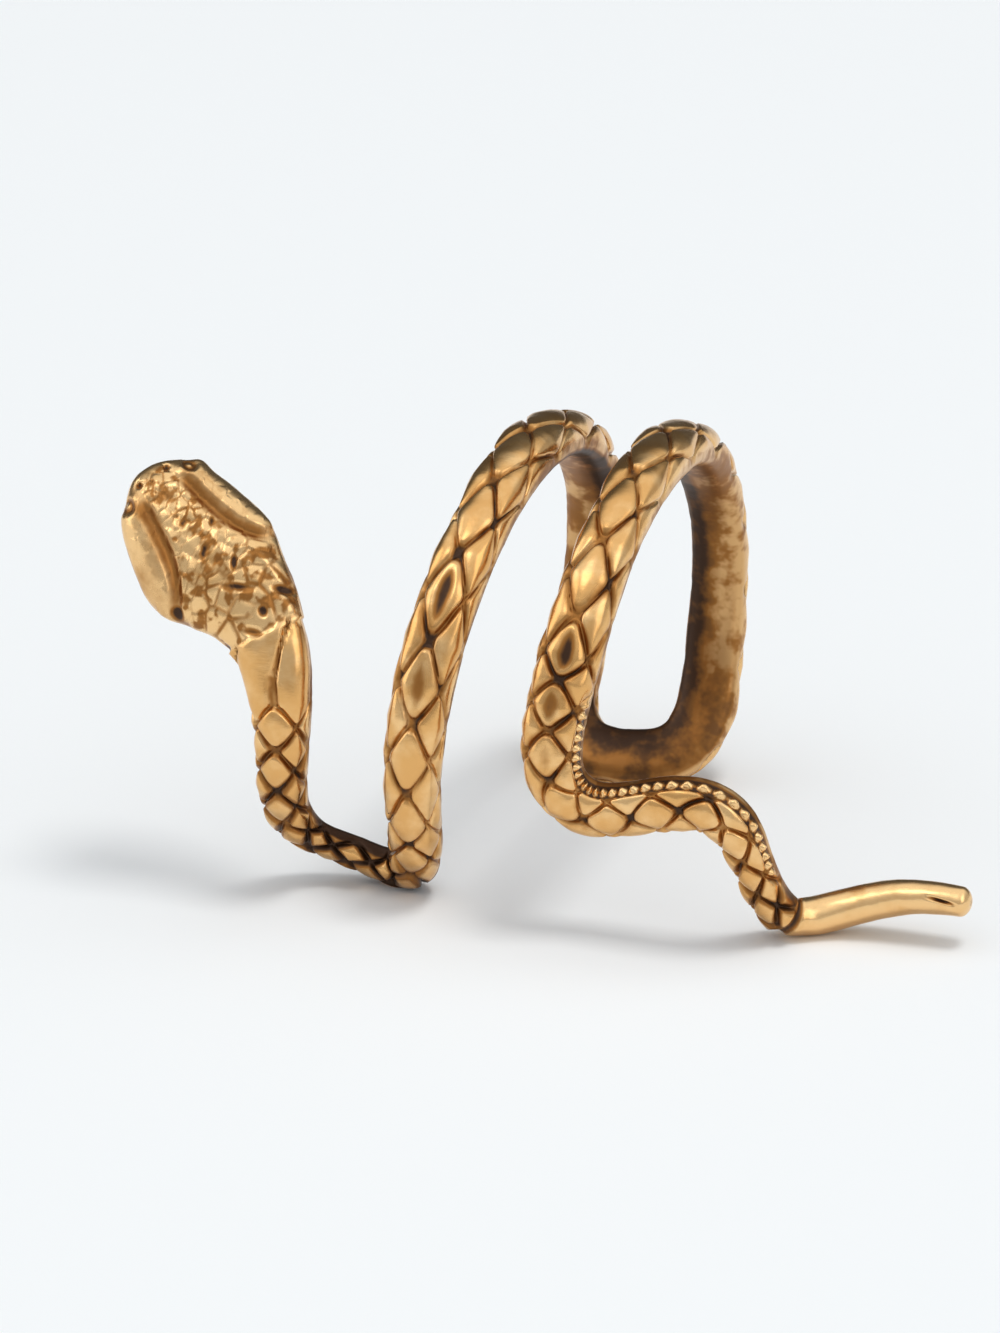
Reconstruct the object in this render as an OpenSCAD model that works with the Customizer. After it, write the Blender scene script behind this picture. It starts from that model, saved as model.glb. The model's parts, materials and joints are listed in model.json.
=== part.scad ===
// A cast snake ring that holds a cigarette. The snake lies in three hairpin turns round the finger:
// head, neck, first turn in front, first band over the top, second turn behind, second band over
// the top, a low turn in front and the tail, whose bend is the third foot that the ring rests on.
// The finger goes in along X. The origin is the middle of the finger hole and +Z is up.

/* [Ring] */
// Diameter of the hole that the finger goes through
finger_d = 18.4; // [16:0.2:22]
// Share of the snake's thickness that lies inside its widest line, towards the finger
belly_share = 0.38; // [0.3:0.01:0.45]
// Length on each side over which the direction of the snake is averaged in a tight turn
turn_easing = 0.7; // [0.4:0.1:1]

/* [Scales] */
// Depth of the grooves between the scales
groove_depth = 0.24; // [0.1:0.02:0.34]
// How far the middle of a scale stands above its rim
scale_crown = 0.06; // [0:0.01:0.12]
// How deep the middle is sunk on the scales that have it
sunk_depth = 0.12; // [0:0.02:0.2]
// Share of a scale that is raised, the rest being its half of the grooves
scale_fill = 0.76; // [0.6:0.02:0.9]
// How far the sides of a scale bulge, where 1 is a straight-sided diamond
scale_bulge = 1.12; // [1:0.02:1.2]
// Height of the beads along the inner edge of the third turn
bead_high = 0.16; // [0:0.02:0.3]

/* [Head] */
// Length of the head from the snout to the nape
head_long = 8.9; // [7:0.1:11]
// Height of the long ridge on each side of the head
ridge_high = 0.13; // [0:0.01:0.3]
// Depth of the groove along the inner side of each ridge
ridge_groove = 0.24; // [0:0.02:0.34]
// Height of the brow over each eye
brow_high = 0.13; // [0:0.01:0.3]
// Depth of the eye sockets
socket_deep = 0.3; // [0:0.02:0.4]
// Height of the small scales on the crown
crown_high = 0.05; // [0:0.01:0.1]
// Depth of the groove between the two long plates of the neck
plate_groove = 0.2; // [0:0.02:0.3]

/* [Tail] */
// Length of the plain tail end behind the last scale
tail_end_long = 8.5; // [6:0.1:10]
// Depth of the ring groove between the scales and the plain tail end, and of the notch at the tip
tail_groove = 0.16; // [0:0.02:0.24]

/* [Hidden] */

// Columns of the route table. ANGLE is measured round the finger from the top, with the front
// negative. RISE lifts the snake off the finger's surface.
ANGLE = 0;
ALONG = 1;
RISE = 2;
WIDTH = 3;
THICK = 4;
ROUTE = [
    [-37, -15.8, 2.5, 2.6, 1.8],    // snout
    [-46, -13.8, 1.3, 2.9, 1.8],    // crown of the head
    [-57, -11.5, 0.4, 3.8, 1.8],    // nape
    [-70, -9.35, 0.0, 3.3, 1.8],    // throat
    [-88, -8.85, 0.0, 2.35, 1.8],   // neck
    [-103, -9.1, 0.0, 2.1, 1.7],
    [-117, -9.3, 0.0, 1.9, 1.4],    // first turn, in front
    [-129, -8.6, 0.0, 1.7, 1.1],
    [-133, -6.9, 0.05, 1.7, 1.1],
    [-137, -5.3, 0.3, 1.8, 1.3],
    [-136, -3.9, 0.25, 2.1, 1.6],
    [-121, -3.4, 0.0, 2.2, 1.8],
    [-98, -3.25, 0.0, 2.4, 1.8],    // first band
    [-68, -2.55, 0.0, 2.6, 1.8],
    [-34, -1.3, 0.0, 2.3, 1.8],
    [5, -0.5, -0.1, 2.6, 2.0],
    [42, -0.1, -0.15, 2.4, 1.8],
    [78, -0.75, 0.0, 2.4, 1.8],
    [104, -1.35, 0.0, 2.4, 1.8],
    [122, -1.7, 0.0, 2.4, 1.8],     // second turn, behind
    [134, -0.7, 0.0, 2.5, 1.8],
    [135, 1.9, 0.0, 2.6, 1.8],
    [132, 4.1, 0.0, 2.6, 1.8],
    [119, 4.9, 0.0, 2.6, 1.8],
    [100, 4.8, 0.0, 2.5, 1.8],      // second band
    [72, 5.2, 0.0, 2.4, 1.8],
    [40, 5.1, -0.1, 2.4, 1.8],
    [2, 5.1, 0.0, 2.6, 1.95],
    [-34, 4.35, 0.0, 2.35, 1.8],
    [-66, 3.55, 0.0, 2.7, 1.8],
    [-88, 2.8, 0.0, 2.5, 1.8],
    [-100, 3.15, 0.0, 2.35, 1.8],   // third turn, in front
    [-106, 4.8, 0.0, 2.3, 1.7],
    [-102, 7.0, 0.0, 2.25, 1.6],
    [-98, 9.3, 0.1, 2.2, 1.6],      // scaled tail
    [-103, 11.1, 0.1, 2.1, 1.6],
    [-122, 11.65, 0.2, 1.4, 1.4],
    [-136, 12.7, 0.95, 1.9, 1.6],   // bend that rests on the floor
    [-138, 15.0, -0.35, 1.7, 1.6],  // plain tail end
    [-134, 17.8, -0.95, 1.6, 1.4],
    [-134, 20.35, -0.7, 1.3, 1.2]
];

// Columns of the head table. SHARE is the share of the head's length from the snout, and the
// others are millimetres to each side, above and below the middle of the head.
SHARE = 0;
FRONT_SIDE = 1;
BACK_SIDE = 2;
ABOVE = 3;
BELOW = 4;
HEAD = [
    [0.00, 0.30, 0.30, 0.18, 0.20],
    [0.02, 0.88, 0.95, 0.50, 0.42],
    [0.06, 1.25, 1.50, 0.74, 0.56],  // nostrils
    [0.10, 1.72, 2.10, 0.92, 0.66],
    [0.14, 2.14, 2.30, 1.04, 0.76],  // eyes
    [0.20, 2.42, 2.30, 1.12, 0.84],
    [0.28, 2.72, 2.52, 1.18, 0.92],
    [0.38, 2.98, 2.72, 1.26, 0.98],
    [0.48, 3.28, 2.86, 1.32, 1.00],
    [0.56, 3.28, 2.92, 1.34, 1.00],
    [0.62, 3.14, 2.80, 1.32, 0.98],  // corners of the jaw
    [0.68, 2.92, 2.62, 1.28, 0.94],
    [0.76, 2.46, 2.38, 1.22, 0.88],
    [0.84, 2.04, 2.24, 1.18, 0.80],
    [0.92, 1.84, 2.00, 1.14, 0.74],
    [1.00, 1.66, 1.78, 1.12, 0.68]
];

// The long groove on each side of the crown: share of the head and millimetres from its middle
CHEEK_GROOVE = [
    [0.10, 1.00],
    [0.20, 1.12],
    [0.30, 1.25],
    [0.40, 1.42],
    [0.48, 1.62],
    [0.56, 1.98],
    [0.63, 2.40],
    [0.70, 2.80]
];
// Where the head's features lie: millimetres from the snout and to each side, and how far they
// reach. Names in _at are shares of the head's length.
cheek_from = 0.08;
cheek_to = 0.7;
cheek_groove_half = 0.42;
cheek_ridge_off = 0.55;
cheek_ridge_half = 0.8;
brow_at = 0.14;
brow_side = 1.15;
brow_half = 0.45;
eye_from_snout = 1.02;
eye_side = 1.62;
socket_reach = 0.52;
eyeball_reach = 0.26;
eyeball_share = 0.67;
nostril_from_snout = 0.58;
nostril_side = 0.72;
nostril_reach = 0.22;
nostril_deep = 0.16;
muzzle_high = 0.07;
mouth_deep = 0.15;
mouth_level = -0.28;
mouth_half = 0.24;
jaw_at = 0.71;
jaw_fold_deep = 0.12;
plates_at = 0.97;
plate_groove_half = 0.26;
plate_groove_side = -1.1;
plate_groove_turn = 0.3;
nape_fold_deep = 0.08;
crown_scale = 0.95;

// Roundness of the section: 1 is an ellipse and less is squarer
SIDE_POWER = 0.8;
BACK_POWER = 0.9;
BELLY_POWER = 0.55;
JAW_POWER = 0.7;
ROUND_POWER = 0.9;
DOME_SHARE = 1 - belly_share;

// Steps of the route between two rows. The rings of the head and of the plain tail end have so
// many steps over the back, and so many points under the belly.
route_steps = 16;
head_rings = 56;
head_back = 32;
head_belly = 11;
tail_rings = 26;
tail_back = 14;
tail_belly = 5;
// Rings lie closer towards the snout and towards the tip
snout_start = 0.006;
snout_crowding = 1.15;
tip_crowding = 1.3;
// The tip is rounded over this length
tip_radius = 0.45;
// The plain tail end goes from the body's section to a round one over this length
tail_rounding = 1.2;

function unit(v) = v / norm(v);
function blend(a, b, c, d, t) =
    (pow(1 - t, 3) * a + (3 * pow(t, 3) - 6 * t * t + 4) * b
     + (-3 * pow(t, 3) + 3 * t * t + 3 * t + 1) * c + pow(t, 3) * d) / 6;

// A smooth curve through a table: the curve's parameter t counts rows
function padded(table) =
    let (last = len(table) - 1)
    concat([2 * table[0] - table[1]], table, [2 * table[last] - table[last - 1]]);
function smooth_row(rows, t) =
    let (k = max(0, min(floor(t), len(rows) - 4)))
    blend(rows[k], rows[k + 1], rows[k + 2], rows[k + 3], t - k);

ROUTE_ROWS = padded(ROUTE);
HEAD_ROWS = padded(HEAD);
HEAD_SHARES = [for (k = [0:(len(HEAD) - 1) * route_steps])
    [smooth_row(HEAD_ROWS, k / route_steps)[SHARE], k / route_steps]];
route_last = len(ROUTE) - 1;

function place(row) =
    let (radius = finger_d / 2 + belly_share * row[THICK] + row[RISE])
    [row[ALONG], radius * sin(row[ANGLE]), radius * cos(row[ANGLE])];
function route_place(t) = place(smooth_row(ROUTE_ROWS, t));

// Table of distance along the snake against the curve's parameter
WAY = [for (k = [0:route_last * route_steps]) route_place(k / route_steps)];
REACH = [for (k = 0, s = 0; k < len(WAY);
              s = s + (k + 1 < len(WAY) ? norm(WAY[k + 1] - WAY[k]) : 0), k = k + 1)
         [s, k / route_steps]];
snake_long = REACH[len(REACH) - 1][0];
scales_end = snake_long - tail_end_long;

// Frame of the section at a distance from the snout: middle, side, outward, width and thickness
MIDDLE = 0;
SIDE = 1;
OUT = 2;
WIDE = 3;
DEEP = 4;
function frame_at(s) =
    let (t = lookup(s, REACH),
         row = smooth_row(ROUTE_ROWS, t),
         p = place(row),
         ahead = route_place(lookup(s + turn_easing, REACH)),
         behind = route_place(lookup(s - turn_easing, REACH)),
         tangent = unit(ahead - behind),
         radial = [0, p[1], p[2]],
         out = unit(radial - (radial * tangent) * tangent))
    [p, cross(tangent, out), out, row[WIDTH], row[THICK]];

function signed_power(v, power) = sign(v) * pow(abs(v), power);

// A point of a rounded section at angle a, raised along the surface's normal
function section_side(a, half_wide) = half_wide * signed_power(cos(a), SIDE_POWER);
function section_point(frame, a, half_wide, above, below, raised, belly_power) =
    let (up = sin(a) >= 0,
         high = up ? above : below,
         x = section_side(a, half_wide),
         y = high * signed_power(sin(a), up ? BACK_POWER : belly_power),
         slope = unit([cos(a) / half_wide, sin(a) / high]))
    frame[MIDDLE] + (x + raised * slope[0]) * frame[SIDE] + (y + raised * slope[1]) * frame[OUT];
function body_point(frame, a, raised) =
    section_point(frame, a, frame[WIDE] / 2, DOME_SHARE * frame[DEEP], belly_share * frame[DEEP],
                  raised, BELLY_POWER);
function ring_angles(back, belly) = concat(
    [for (k = [0:back]) 180 - 180 * k / back],
    [for (k = [1:belly]) -180 * k / (belly + 1)]);

// Relief of the head, for a share of its length, millimetres to one side and the sine of the
// section's angle over the back. A hump is a smooth bump that is 1 in its middle.
function hump(v, middle, reach) = pow(max(0, 1 - pow((v - middle) / reach, 2)), 2);
function ease(v, low, high) =
    let (t = max(0, min(1, (v - low) / (high - low))))
    t * t * (3 - 2 * t);
function cheek_relief(share, beside) =
    let (groove_side = lookup(share, CHEEK_GROOVE),
         groove = ridge_groove * hump(beside, groove_side, cheek_groove_half),
         ridge = ridge_high * hump(beside, groove_side + cheek_ridge_off, cheek_ridge_half))
    (ridge - groove) * ease(share, cheek_from, 0.2) * (1 - ease(share, 0.58, cheek_to));
function snout_relief(share, beside) =
    let (from_snout = share * head_long,
         brow = brow_high * hump(beside, brow_side, brow_half) * hump(share, brow_at, 0.07),
         muzzle = muzzle_high * hump(beside, 0, 0.5) * hump(share, 0.1, 0.08),
         from_nostril = norm([from_snout - nostril_from_snout, beside - nostril_side]))
    brow + muzzle - nostril_deep * hump(from_nostril, 0, nostril_reach);
function eye_relief(share, beside) =
    let (from_eye = norm([share * head_long - eye_from_snout, beside - eye_side]))
    socket_deep * (eyeball_share * hump(from_eye, 0, eyeball_reach) - hump(from_eye, 0, socket_reach));
function jaw_relief(share, side, over) =
    let (mouth = mouth_deep * hump(over, mouth_level, mouth_half)
                 * ease(share, 0, 0.03) * (1 - ease(share, 0.56, 0.64)),
         fold = jaw_fold_deep * hump(share, jaw_at, 0.06) * hump(over, 0.15, 0.5) * ease(side, 1.3, 2.2))
    -fold - mouth;
// Small scales between the grooves of the cheeks and behind them, as far as the long plates
function crown_relief(share, side) =
    let (groove_side = lookup(share, CHEEK_GROOVE),
         inner = 1 - ease(abs(side), groove_side - 0.4, groove_side - 0.15),
         where = max(inner, ease(share, 0.64, 0.72)) * ease(share, 0.05, 0.12)
                 * (1 - ease(share, plates_at - 0.03, plates_at)),
         along = cos(360 * share * head_long / crown_scale),
         across = cos(360 * side / crown_scale))
    crown_high * (along + across) * where;
// The groove between the plates starts at the side and comes to the middle
function plate_relief(share, side) =
    let (left = max(0, min(1, 1 - (share - plates_at) / plate_groove_turn)),
         groove_side = plate_groove_side * pow(left, 3))
    -nape_fold_deep * hump(share, plates_at, 0.022)
    - plate_groove * hump(side, groove_side, plate_groove_half) * ease(share, plates_at, plates_at + 0.03);
function head_relief(share, side, over) =
    let (beside = abs(side),
         top = max(0, min(1, 4 * over)),
         near_side = max(0, min(1, 2 * over + 0.4)))
    top * (cheek_relief(share, beside) + snout_relief(share, beside))
    + near_side * eye_relief(share, beside)
    + jaw_relief(share, side, over)
    + ease(over, 0.1, 0.6) * (crown_relief(share, side) + plate_relief(share, side));

// A ring of the head, or of the neck up to the first row of the net
function head_ring(s) =
    let (frame = frame_at(s),
         share = s / head_long,
         half = frame[WIDE] / 2,
         shape = share < 1 ? smooth_row(HEAD_ROWS, lookup(share, HEAD_SHARES))
                           : [share, half, half, DOME_SHARE * frame[DEEP], belly_share * frame[DEEP]],
         belly_power = JAW_POWER + (BELLY_POWER - JAW_POWER) * ease(share, 0.9, 1.1))
    [for (a = ring_angles(head_back, head_belly))
        let (half_wide = shape[cos(a) > 0 ? FRONT_SIDE : BACK_SIDE])
        section_point(frame, a, half_wide, shape[ABOVE], shape[BELOW],
                      head_relief(share, section_side(a, half_wide), sin(a)), belly_power)];

// The scale net. A scale is two rows long, and odd rows have a scale in the middle column. The
// table gives the distance from the nape for the rows where the scales' length changes.
NET_ROW = 0;
NET_AT = 1;
NET = [
    [2, 2.8],                       // end of the long plates behind the head
    [3, 3.7],                       // small scales of the neck
    [15, 15.2],
    [19, 19.2],                     // first large scale of the first band
    [23, 25.4],
    [29, 36.1],
    [61, 94.0],
    [65, 100.4],                    // last large scale of the second band
    [69, 104.4],
    [77, 113.0],
    [84, 119.4]
];
net_first = NET[0][NET_ROW];
net_rows = NET[len(NET) - 1][NET_ROW];
net_long = NET[len(NET) - 1][NET_AT];
net_stretch = (scales_end - head_long) / net_long;
function net_place(i) = head_long + lookup(i, NET) * net_stretch;

// Scales with a sunk middle, in front on each band: row and share of the full depth
SUNK = [[23, 0.55], [25, 1], [65, 1], [67, 0.7], [69, 0.35]];
// Rows with a bead each in the first column, along the inner edge of the third turn
BEADED = [67, 81];
bead_col = 0.36;
bead_gap = 0.08;

// The net has five columns over the back, and its sites are scale middles and groove crossings
// in turn. Scale middles stand up, and crossings and groove middles lie low.
net_cols = 5;
belly_cols = 3;
half_cells = net_cols - 1;
middle_col = half_cells / 2;
function sunk_share(i, j) = j == middle_col ? max([0, for (row = SUNK) if (row[0] == i) row[1]]) : 0;
function is_beaded(i, j) = j == 0 && i >= BEADED[0] && i <= BEADED[1];
function column_angle(j) = 180 - 180 * j / half_cells;
function is_scale(i, j) = (i + j) % 2 == 1;
function rim_share(i, j) = is_scale(i, j) ? scale_fill : 1 - scale_fill;
function site_height(i, j) =
    !is_scale(i, j) ? -groove_depth : is_beaded(i, j) ? -bead_gap
    : scale_crown - (scale_crown + sunk_depth) * sunk_share(i, j);

function net_point(i, j, raised) = body_point(frame_at(net_place(i)), column_angle(j), raised);

SITES = [for (i = [net_first:net_rows]) for (j = [0:half_cells])
    net_point(i, j, site_height(i, j))];
GROOVES = [for (i = [net_first:net_rows - 1]) for (j = [0:half_cells - 1])
    is_beaded(i, j) ? net_point(i + 0.5, bead_col, bead_high)
                    : net_point(i + 0.5, j + 0.5, -groove_depth)];
RIMS_ALONG = [for (i = [net_first:net_rows - 1]) for (j = [0:half_cells])
    net_point(i + rim_share(i, j), j, is_beaded(i, j) ? -bead_gap : 0)];
RIMS_ACROSS = [for (i = [net_first:net_rows]) for (j = [0:half_cells - 1])
    net_point(i, j + rim_share(i, j), is_beaded(i, j) ? -bead_gap : 0)];
RIM_MIDDLES = [for (i = [net_first:net_rows - 1]) for (j = [0:half_cells - 1]) for (half = [0, 1])
    let (left = is_scale(i + half, j),
         down = scale_bulge * scale_fill / 2,
         row_at = half == 0 ? i + down : i + 1 - down,
         col_at = left ? j + down : j + 1 - down)
    net_point(row_at, col_at, 0)];
belly_rows = 2 * (net_rows - net_first) + 1;
BELLY = [for (p = [0:belly_rows - 1]) for (c = [1:belly_cols])
    let (i = net_first + floor(p / 2),
         at = p % 2 == 0 ? i : i + rim_share(i, 0))
    net_point(at, half_cells * (1 + c / (belly_cols + 1)), 0)];

// The head and the long plates join the first row of the net, and the plain tail end follows its
// last row. A ring groove just behind that row ends the scales, and a slanting notch marks the tip.
tail_groove_at = 0.35;
tail_groove_half = 0.3;
notch_from_tip = 1.2;
notch_angle = 146;
notch_half_long = 0.8;
notch_half_wide = 18;
notch_slant = 16;
head_end = net_place(net_first);
HEAD_POINTS = [for (k = [0:head_rings - 1])
    each head_ring(head_end * (snout_start + (1 - snout_start) * pow(k / head_rings, snout_crowding)))];
function tail_narrowing(left) =
    left >= tip_radius ? 1 : sqrt(max(0.02, 1 - pow(1 - left / tip_radius, 2)));
function tail_relief(s, a) =
    let (along = snake_long - s - notch_from_tip,
         round_way = (a + 360) % 360 - notch_angle - notch_slant * along)
    hump(s, scales_end + tail_groove_at, tail_groove_half)
    + hump(along, 0, notch_half_long) * hump(round_way, 0, notch_half_wide);
function tail_ring(s) =
    let (frame = frame_at(s),
         narrow = tail_narrowing(snake_long - s),
         rounded = ease(s, scales_end, scales_end + tail_rounding),
         above = frame[DEEP] * (DOME_SHARE + (0.5 - DOME_SHARE) * rounded),
         below = frame[DEEP] * (belly_share + (0.5 - belly_share) * rounded),
         belly_power = BELLY_POWER + (ROUND_POWER - BELLY_POWER) * rounded)
    [for (a = ring_angles(tail_back, tail_belly))
        section_point(frame, a, frame[WIDE] / 2 * narrow, above * narrow, below * narrow,
                      -tail_groove * tail_relief(s, a), belly_power)];
TAIL_POINTS = [for (k = [1:tail_rings])
    each tail_ring(scales_end + tail_end_long * (1 - pow(1 - k / tail_rings, tip_crowding)))];
head_sides = head_back + 1 + head_belly;
tail_sides = tail_back + 1 + tail_belly;
SNOUT = [frame_at(0)[MIDDLE]];
TIP = [frame_at(snake_long)[MIDDLE]];

// Where each group of points starts in the list
at_grooves = len(SITES);
at_along = at_grooves + len(GROOVES);
at_across = at_along + len(RIMS_ALONG);
at_middles = at_across + len(RIMS_ACROSS);
at_belly = at_middles + len(RIM_MIDDLES);
at_head = at_belly + len(BELLY);
at_tail = at_head + len(HEAD_POINTS);
at_snout = at_tail + len(TAIL_POINTS);
at_tip = at_snout + 1;
POINTS = concat(SITES, GROOVES, RIMS_ALONG, RIMS_ACROSS, RIM_MIDDLES, BELLY,
                HEAD_POINTS, TAIL_POINTS, SNOUT, TIP);

function site(i, j) = (i - net_first) * net_cols + j;
function groove_at(i, j) = at_grooves + (i - net_first) * half_cells + j;
function rim_along(i, j) = at_along + (i - net_first) * net_cols + j;
function rim_across(i, j) = at_across + (i - net_first) * half_cells + j;
function rim_middle(i, j, half) = at_middles + ((i - net_first) * half_cells + j) * 2 + half;
function belly_at(p, c) =
    c == 0 ? edge_at(p, half_cells) : c == belly_cols + 1 ? edge_at(p, 0)
    : at_belly + p * belly_cols + c - 1;
function edge_at(p, j) =
    let (i = net_first + floor(p / 2))
    p % 2 == 0 ? site(i, j) : rim_along(i, j);

// Half of a cell of the net: the raised corner of one scale and its side of the groove
function half_cell(i, j, half) =
    let (row = i + half,
         left = is_scale(row, j),
         col = left ? j : j + 1,
         scale = site(row, col),
         along = rim_along(i, col),
         across = rim_across(row, j),
         middle = rim_middle(i, j, half),
         low_along = site(i + 1 - half, col),
         low_across = site(row, left ? j + 1 : j),
         groove = groove_at(i, j),
         faces = [[scale, along, middle], [scale, middle, across],
                  [along, low_along, groove], [along, groove, middle],
                  [middle, groove, low_across], [middle, low_across, across]])
    (half == 0) == left ? faces : [for (f = faces) [f[0], f[2], f[1]]];

// Two closed rings joined by triangles, the shorter step first
function zip_rings(a, b) =
    let (m = len(a), n = len(b))
    [for (i = 0, j = 0; i + j < m + n;
          take_a = j >= n || (i < m && (i + 0.5) / m <= (j + 0.5) / n),
          i_next = take_a ? i + 1 : i, j_next = take_a ? j : j + 1, i = i_next, j = j_next)
        let (use_a = j >= n || (i < m && (i + 0.5) / m <= (j + 0.5) / n))
        use_a ? [a[i % m], b[j % n], a[(i + 1) % m]] : [a[i % m], b[j % n], b[(j + 1) % n]]];
function ring_of(start, count) = [for (k = [0:count - 1]) start + k];
function seam_ring(i) = concat(
    [for (k = [0:2 * half_cells]) k % 2 == 0 ? site(i, k / 2) : rim_across(i, (k - 1) / 2)],
    [for (c = [1:belly_cols]) belly_at(2 * (i - net_first), c)]);
HEAD_RINGS = concat([for (k = [0:head_rings - 1]) ring_of(at_head + k * head_sides, head_sides)],
                    [seam_ring(net_first)]);
TAIL_RINGS = concat([seam_ring(net_rows)],
                    [for (k = [0:tail_rings - 2]) ring_of(at_tail + k * tail_sides, tail_sides)]);

NET_FACES = [for (i = [net_first:net_rows - 1]) for (j = [0:half_cells - 1]) for (half = [0, 1])
    each half_cell(i, j, half)];
BELLY_FACES = [for (p = [0:belly_rows - 2]) for (c = [0:belly_cols])
    each [[belly_at(p, c), belly_at(p + 1, c), belly_at(p + 1, c + 1)],
          [belly_at(p, c), belly_at(p + 1, c + 1), belly_at(p, c + 1)]]];
HEAD_FACES = [for (k = [0:head_rings - 1]) each zip_rings(HEAD_RINGS[k], HEAD_RINGS[k + 1])];
TAIL_FACES = [for (k = [0:tail_rings - 2]) each zip_rings(TAIL_RINGS[k], TAIL_RINGS[k + 1])];
SNOUT_FACES = [for (k = [0:head_sides - 1])
    [at_snout, HEAD_RINGS[0][k], HEAD_RINGS[0][(k + 1) % head_sides]]];
TIP_FACES = [for (k = [0:tail_sides - 1])
    [at_tip, TAIL_RINGS[tail_rings - 1][(k + 1) % tail_sides], TAIL_RINGS[tail_rings - 1][k]]];

module snake_ring() {
    color([0.80, 0.60, 0.30])
        polyhedron(points = POINTS, faces = concat(NET_FACES, BELLY_FACES, HEAD_FACES, TAIL_FACES,
                                                   SNOUT_FACES, TIP_FACES), convexity = 12);
}

snake_ring();
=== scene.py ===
import json
import math

import bpy
import numpy as np
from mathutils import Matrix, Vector

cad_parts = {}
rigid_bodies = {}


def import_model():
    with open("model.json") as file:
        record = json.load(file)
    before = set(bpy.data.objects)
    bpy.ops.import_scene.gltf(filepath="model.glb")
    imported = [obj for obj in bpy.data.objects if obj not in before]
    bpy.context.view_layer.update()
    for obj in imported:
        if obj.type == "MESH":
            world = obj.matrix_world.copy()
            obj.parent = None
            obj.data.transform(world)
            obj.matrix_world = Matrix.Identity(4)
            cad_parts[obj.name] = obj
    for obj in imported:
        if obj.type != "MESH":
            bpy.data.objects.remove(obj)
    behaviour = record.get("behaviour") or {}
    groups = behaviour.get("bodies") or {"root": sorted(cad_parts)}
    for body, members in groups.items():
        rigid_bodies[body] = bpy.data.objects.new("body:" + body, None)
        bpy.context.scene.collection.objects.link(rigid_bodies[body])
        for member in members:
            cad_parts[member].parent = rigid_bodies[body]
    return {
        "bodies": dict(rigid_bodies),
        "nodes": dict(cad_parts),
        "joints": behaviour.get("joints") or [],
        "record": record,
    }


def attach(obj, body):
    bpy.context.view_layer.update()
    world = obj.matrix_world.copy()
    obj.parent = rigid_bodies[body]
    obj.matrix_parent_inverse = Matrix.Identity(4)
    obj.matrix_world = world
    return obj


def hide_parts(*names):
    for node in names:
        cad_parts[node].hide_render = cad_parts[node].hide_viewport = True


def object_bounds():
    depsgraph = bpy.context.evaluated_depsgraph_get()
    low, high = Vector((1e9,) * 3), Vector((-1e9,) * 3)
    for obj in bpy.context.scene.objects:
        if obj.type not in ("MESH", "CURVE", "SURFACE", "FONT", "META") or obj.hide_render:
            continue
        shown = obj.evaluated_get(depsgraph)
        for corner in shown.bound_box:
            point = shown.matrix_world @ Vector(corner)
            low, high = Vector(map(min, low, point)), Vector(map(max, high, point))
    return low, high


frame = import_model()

# A cast ring in the form of a snake that lies in hairpin turns round the finger. The gap between
# its head and its first band holds a cigarette. The body is one sweep along a route, the scales
# and plates are raised on it by a Geometry Nodes tree, and one antique gold finish covers it.

bl_info = {
    "name": "Cast Snake Ring",
    "version": (1, 0, 0),
    "blender": (4, 5, 0),
    "location": "View3D > Sidebar > Snake Ring",
    "description": "Builds a cast snake ring with raised scales, its finish and a studio",
    "category": "Object",
}

MM = 0.001
CAD_LOW, CAD_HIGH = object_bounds()

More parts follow.
